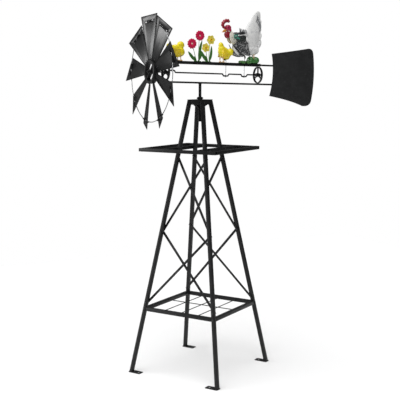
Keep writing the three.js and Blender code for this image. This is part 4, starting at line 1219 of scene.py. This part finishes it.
# Breast and flank feathers, dark with a pale pattern, in rows like tiles.
flank, edging = [], []
for row in range(6):
    left = -122 + 11 * row
    out = 32 - 1.2 * abs(row - 2.5)
    for feathers, grow in ((flank, 0.0), (edging, 1.0)):
        feathers += feather_row(
            6, between((left, out - grow, 48 - row * 2), (left + 14, out - grow, 2 - row * 2)),
            between((left + 18 + grow, out, 35 - row * 2),
                    (left + 30 + grow, out - 1, -13 - row * 2)),
            (0, 2.5, 0), 5.8 + grow, lambda t, s: (0, s, lerp(0.35, -0.35, t)), 2.6 - grow,
        )
rooster_piece("flank", flank, "breast")
rooster_piece("flank_edges", edging, "black")

# The wing: a dark shoulder in tiles, with a green patch in front and a black bar on top.
shoulder = mirrored(lambda s: ball((-98, s * 26, 74), (32, 8, 18), -0.2))
for row in range(3):
    shoulder += feather_row(
        5, between((-128 + 6 * row, 30, 86 - 9 * row), (-90, 32, 90 - 9 * row)),
        between((-110 + 6 * row, 35, 76 - 9 * row), (-68, 36, 82 - 9 * row)), (0, 2, 0), 5.6,
        (0, 1, 0.15),
    )
rooster_piece("wing_tops", shoulder, "wing")
patch = feather_row(
    4, between((-138, 31, 96), (-130, 32, 76)), between((-122, 36, 92), (-108, 37, 70)),
    (0, 2, 0), 4.8, (0, 1, 0.1),
)
patch += mirrored(lambda s: ball((-131, s * 28, 86), (13, 6, 15), 0.3))
rooster_piece("wing_patches", patch, "teal")
for name, z, width, paint in (
    ("bar", 99, 8.5, "black"), ("stripe", 88, 2.2, "plume"), ("hem", 83, 3.6, "black"),
):
    long_feather = feather_row(
        1, (-140, 32, z - 4), (-72, 33, z + 6), (0, 6, 2), width, (0, 1, 0.2), 4.2, 0.3
    )
    rooster_piece("wing_" + name, long_feather, paint)

# Two white feathers edged in black cross the lower breast, over a grey one.
for name, root, tip, width, paint in (
    ("edge", (-146, 24, 40), (-92, 28, -16), 4.6, "black"),
    ("front", (-142, 19, 22), (-104, 22, -18), 8.0, "plume"),
    ("under", (-146, 10, -8), (-72, 16, -26), 5.4, "plume_tip"),
):
    crossing = feather_row(1, root, tip, (-3, 5, -2), width, (-0.2, 1, -0.2), 4.0, 0.3)
    rooster_piece("breast_" + name, crossing, paint)

# Small grey feathers that stand up in front of the saddle.
crest = feather_row(
    4, between((-88, 8, 92), (-60, 14, 98)), between((-94, 5, 132), (-64, 10, 128)),
    (6, 3, 0), 3.6, (0.2, 1, 0), jitter=2.0,
)
rooster_piece("back_feathers", crest, "plume_tip")

# Thigh feathers, ending in a fringe over the legs.
thighs = feather_row(
    8, between((-42, 17, 40), (22, 17, 40)), between((-36, 13, -10), (18, 12, -10)),
    (0, 6, 0), 6.0, (0.1, 1, -0.1), jitter=1.6,
)
rooster_piece("thighs", thighs, "plume")

# The tail: rows of overlapping sickles, marked with grey towards the tip.
plume = []
for layer in range(4):
    low = 40 + 38 * layer
    out = 24 - 5 * layer
    front = -54 + 5 * layer + 5 * layer * layer
    plume += feather_row(
        7, between((front, out * 0.6, low), (30, out * 0.5, low - 12)),
        between((front + 4, out * 0.35, low + 50), (38, out * 0.3, low + 36)),
        (2, 7, 0), 7.2, (0, 1, 0.1), 3.0, 1.5,
    )
rooster_piece("plume", plume, "plume")
sickles = feather_row(
    5, between((2, 14, 168), (28, 15, 118)), between((18, 7, 218), (39, 8, 168)),
    (4, 3, 0), 3.6, (0, 1, 0.05), 3.0, 2.0,
)
rooster_piece("sickles", sickles, "plume_tip")

# Head: red face, a comb curled back over it, wattles, beak and eyes.
comb_path = [
    (-188, 0, 126), (-197, 0, 133), (-202, 0, 144), (-200, 0, 155), (-192, 0, 164),
    (-181, 0, 169), (-169, 0, 169), (-160, 0, 164),
]
comb = [wire(comb_path, [5, 7.5, 9, 9.8, 10.2, 10.2, 9.4, 6.5], 16)]
for x, _, z in comb_path[2:-1]:
    away = (Vector((x, 0, z)) - Vector((-178, 0, 143))).normalized() * 7
    comb.append(ball((x + away.x, 0, z + away.z), (5, 4, 5), detail=2))
put("rooster_comb", soft_skin(comb, 1.1, 2), ROOSTER, "comb", "rooster", sharp=60)
face = mirrored(lambda s: ball((-169, s * 7, 130), (18, 9, 17), 0.2))
face += mirrored(lambda s: ball((-158, s * 12, 118), (6, 3, 9), 0.2))
put("rooster_face", soft_skin(face, 1.1, 3), ROOSTER, "face", "rooster", sharp=60)
wattles = mirrored(lambda s: ball((-170, s * 5.5, 94), (19, 6, 18), 0.2))
wattles += mirrored(lambda s: ball((-172, s * 6, 84), (13, 5, 11), 0.2))
put("rooster_wattles", soft_skin(wattles, 1.1, 3), ROOSTER, "comb", "rooster",
    sharp=60)
upper_beak = [(-182, 0, 119), (-189, 0, 117), (-196, 0, 113), (-202, 0, 108), (-206, 0, 102)]
lower_beak = [(-182, 0, 112), (-188, 0, 110), (-195, 0, 107), (-199, 0, 104)]
beak = join(
    wire(upper_beak, [5.6, 4.9, 3.9, 2.5, 0.5], 16), wire(lower_beak, [4, 3.4, 2.4, 0.5], 14)
)
put("rooster_beak", beak, ROOSTER, "beak", "rooster", sharp=60)
eyes = mirrored(lambda s: ball((-174, s * 15.2, 134), (3.2, 1.8, 3.2)))
put("rooster_eyes", join(*eyes), ROOSTER, "eye", "rooster")

# ---- Grass base ------------------------------------------------------------------------

clump = [
    ball((ROOSTER_X - 18, 0, FOOT_Z + 19), (19, 25, 21)),
    ball((ROOSTER_X + 16, 0, FOOT_Z + 18), (21, 26, 21)),
    ball((ROOSTER_X, 0, FOOT_Z + 10), (36, 26, 12)),
    ball((ROOSTER_X - 26, -20, FOOT_Z + 9), (12, 7, 10)),
    ball((ROOSTER_X - 26, 20, FOOT_Z + 9), (12, 7, 10)),
]
clump = soft_skin(clump, 1.6, 3)
put("grass_clump", clump, HEAD, "grass", "head", ("grass_base",), 60)
blades_of_grass = []
for k in range(90):
    a = 2 * math.pi * k / 90 * 3.0 + rng.uniform(-0.2, 0.2)
    ring = 0.45 + 0.5 * (k / 90)
    root = Vector((ROOSTER_X + 32 * ring * math.cos(a), 23 * ring * math.sin(a), FOOT_Z + 3))
    height = rng.uniform(18, 31) * (1.25 - 0.5 * ring)
    tip = root + Vector((rng.uniform(-5, 5), rng.uniform(-2, 2) + 3 * math.sin(a), height))
    tip.x = min(max(tip.x, ROOSTER_X - 37), ROOSTER_X + 38)
    tip.y = min(max(tip.y, -27), 27)
    side = Vector((math.cos(a), math.sin(a), 0))
    blades_of_grass.append(blade_along(bend(root, tip, (0, 0, 1), 6), petal_width(2.4, 0.35, 0.7),
                                       side, 1.4))
put("grass_blades", join(*blades_of_grass), HEAD, "leaf", "head", sharp=50)
step = [ball((REAR_ROD_X + 16, y, FOOT_Z + 5), (13, 9, 8)) for y in (-17, 0, 17)]
step += [ball((REAR_ROD_X - 14, y, FOOT_Z + 5), (13, 9, 8)) for y in (-17, 17)]
step += [ball((REAR_ROD_X - 20, y, FOOT_Z + 6), (11, 10, 9)) for y in (-12, 4, 14)]
step = soft_skin(step, 1.4, 2)
put("grass_step", step, HEAD, "leaf", "head", sharp=60)
legs = mirrored(lambda s: wire(
    [(ROOSTER_X, s * ROOSTER_LEG_Y, FOOT_Z + z) for z in (8, 36, 66)], [4.2, 3.4, 3.2], 14
))
put("rooster_legs", join(*legs), HEAD, "cream", "head")

# ---- Floor, light and camera ------------------------------------------------------------

SKY_LIGHT = 0.14  # the sky's strength as a light; the camera sees it at 1
FLOOR_HALF = 3.2  # metres

floor_grid = bmesh.new()
bmesh.ops.create_grid(floor_grid, x_segments=1, y_segments=1, size=FLOOR_HALF)
floor_mesh = as_mesh(floor_grid)
floor = in_scene(bpy.data.objects.new("floor", floor_mesh))
n = Nodes("pale_floor")
pale = n.mix(n.noise(0.8, 2), (0.9, 0.9, 0.9), (0.906, 0.906, 0.906))
matt = n.spread(n.noise(0.5, 1), 0.3, 0.7, 0.93, 0.96)
floor_mesh.materials.append(n.finish(pale, matt, Specular_IOR_Level=0.1))
floor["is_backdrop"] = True

# The sky is white to the eye, and a dimmer grey as a light, so that black paint stays black.
world = bpy.data.worlds.new("studio")
world.use_nodes = True
sky = world.node_tree
seen = sky.nodes.new("ShaderNodeLightPath").outputs["Is Camera Ray"]
glow = sky.nodes.new("ShaderNodeMapRange")
glow.inputs["To Min"].default_value, glow.inputs["To Max"].default_value = SKY_LIGHT, 1.0
sky.links.new(seen, glow.inputs["Value"])
sky.links.new(glow.outputs["Result"], sky.nodes["Background"].inputs["Strength"])
sky.nodes["Background"].inputs["Color"].default_value = (1, 1, 1, 1)
bpy.context.scene.world = world
bpy.context.scene.view_settings.view_transform = "Standard"


def soft_light(name, direction, strength, softness):
    """A far light from a direction, in watts a square metre, with a wide soft source."""
    light = bpy.data.lights.new(name, "SUN")
    light.energy, light.angle = strength, math.radians(softness)
    lamp = in_scene(bpy.data.objects.new(name, light))
    lamp.rotation_euler = (-Vector(direction)).to_track_quat("-Z", "Y").to_euler()


soft_light("top_light", (-0.35, -0.15, 1.0), 3.2, 60)
soft_light("front_light", (-0.3, -0.9, 0.45), 0.45, 35)
soft_light("side_light", (-0.85, 0.52, 0.08), 1.7, 20)

DISTANCE, EYE_HEIGHT = 4.941, 1.650  # metres from the tower's axis, and above the floor
LENS = 79.37
BEARING, DIP = math.radians(27.3), math.radians(7.8)
camera_data = bpy.data.cameras.new("camera")
camera_data.sensor_width, camera_data.lens = 36, LENS
camera = in_scene(bpy.data.objects.new("camera", camera_data))
camera.location = (
    axis_x - DISTANCE * math.sin(BEARING), -DISTANCE * math.cos(BEARING), EYE_HEIGHT
)
look = Vector((
    math.sin(BEARING) * math.cos(DIP), math.cos(BEARING) * math.cos(DIP), -math.sin(DIP)
))
camera.rotation_euler = look.to_track_quat("-Z", "Y").to_euler()
bpy.context.scene.camera = camera

boxes = {"cad": cad_box, "visual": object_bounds()}
{k: [[float(x) for x in corner] for corner in box] for k, box in boxes.items()}
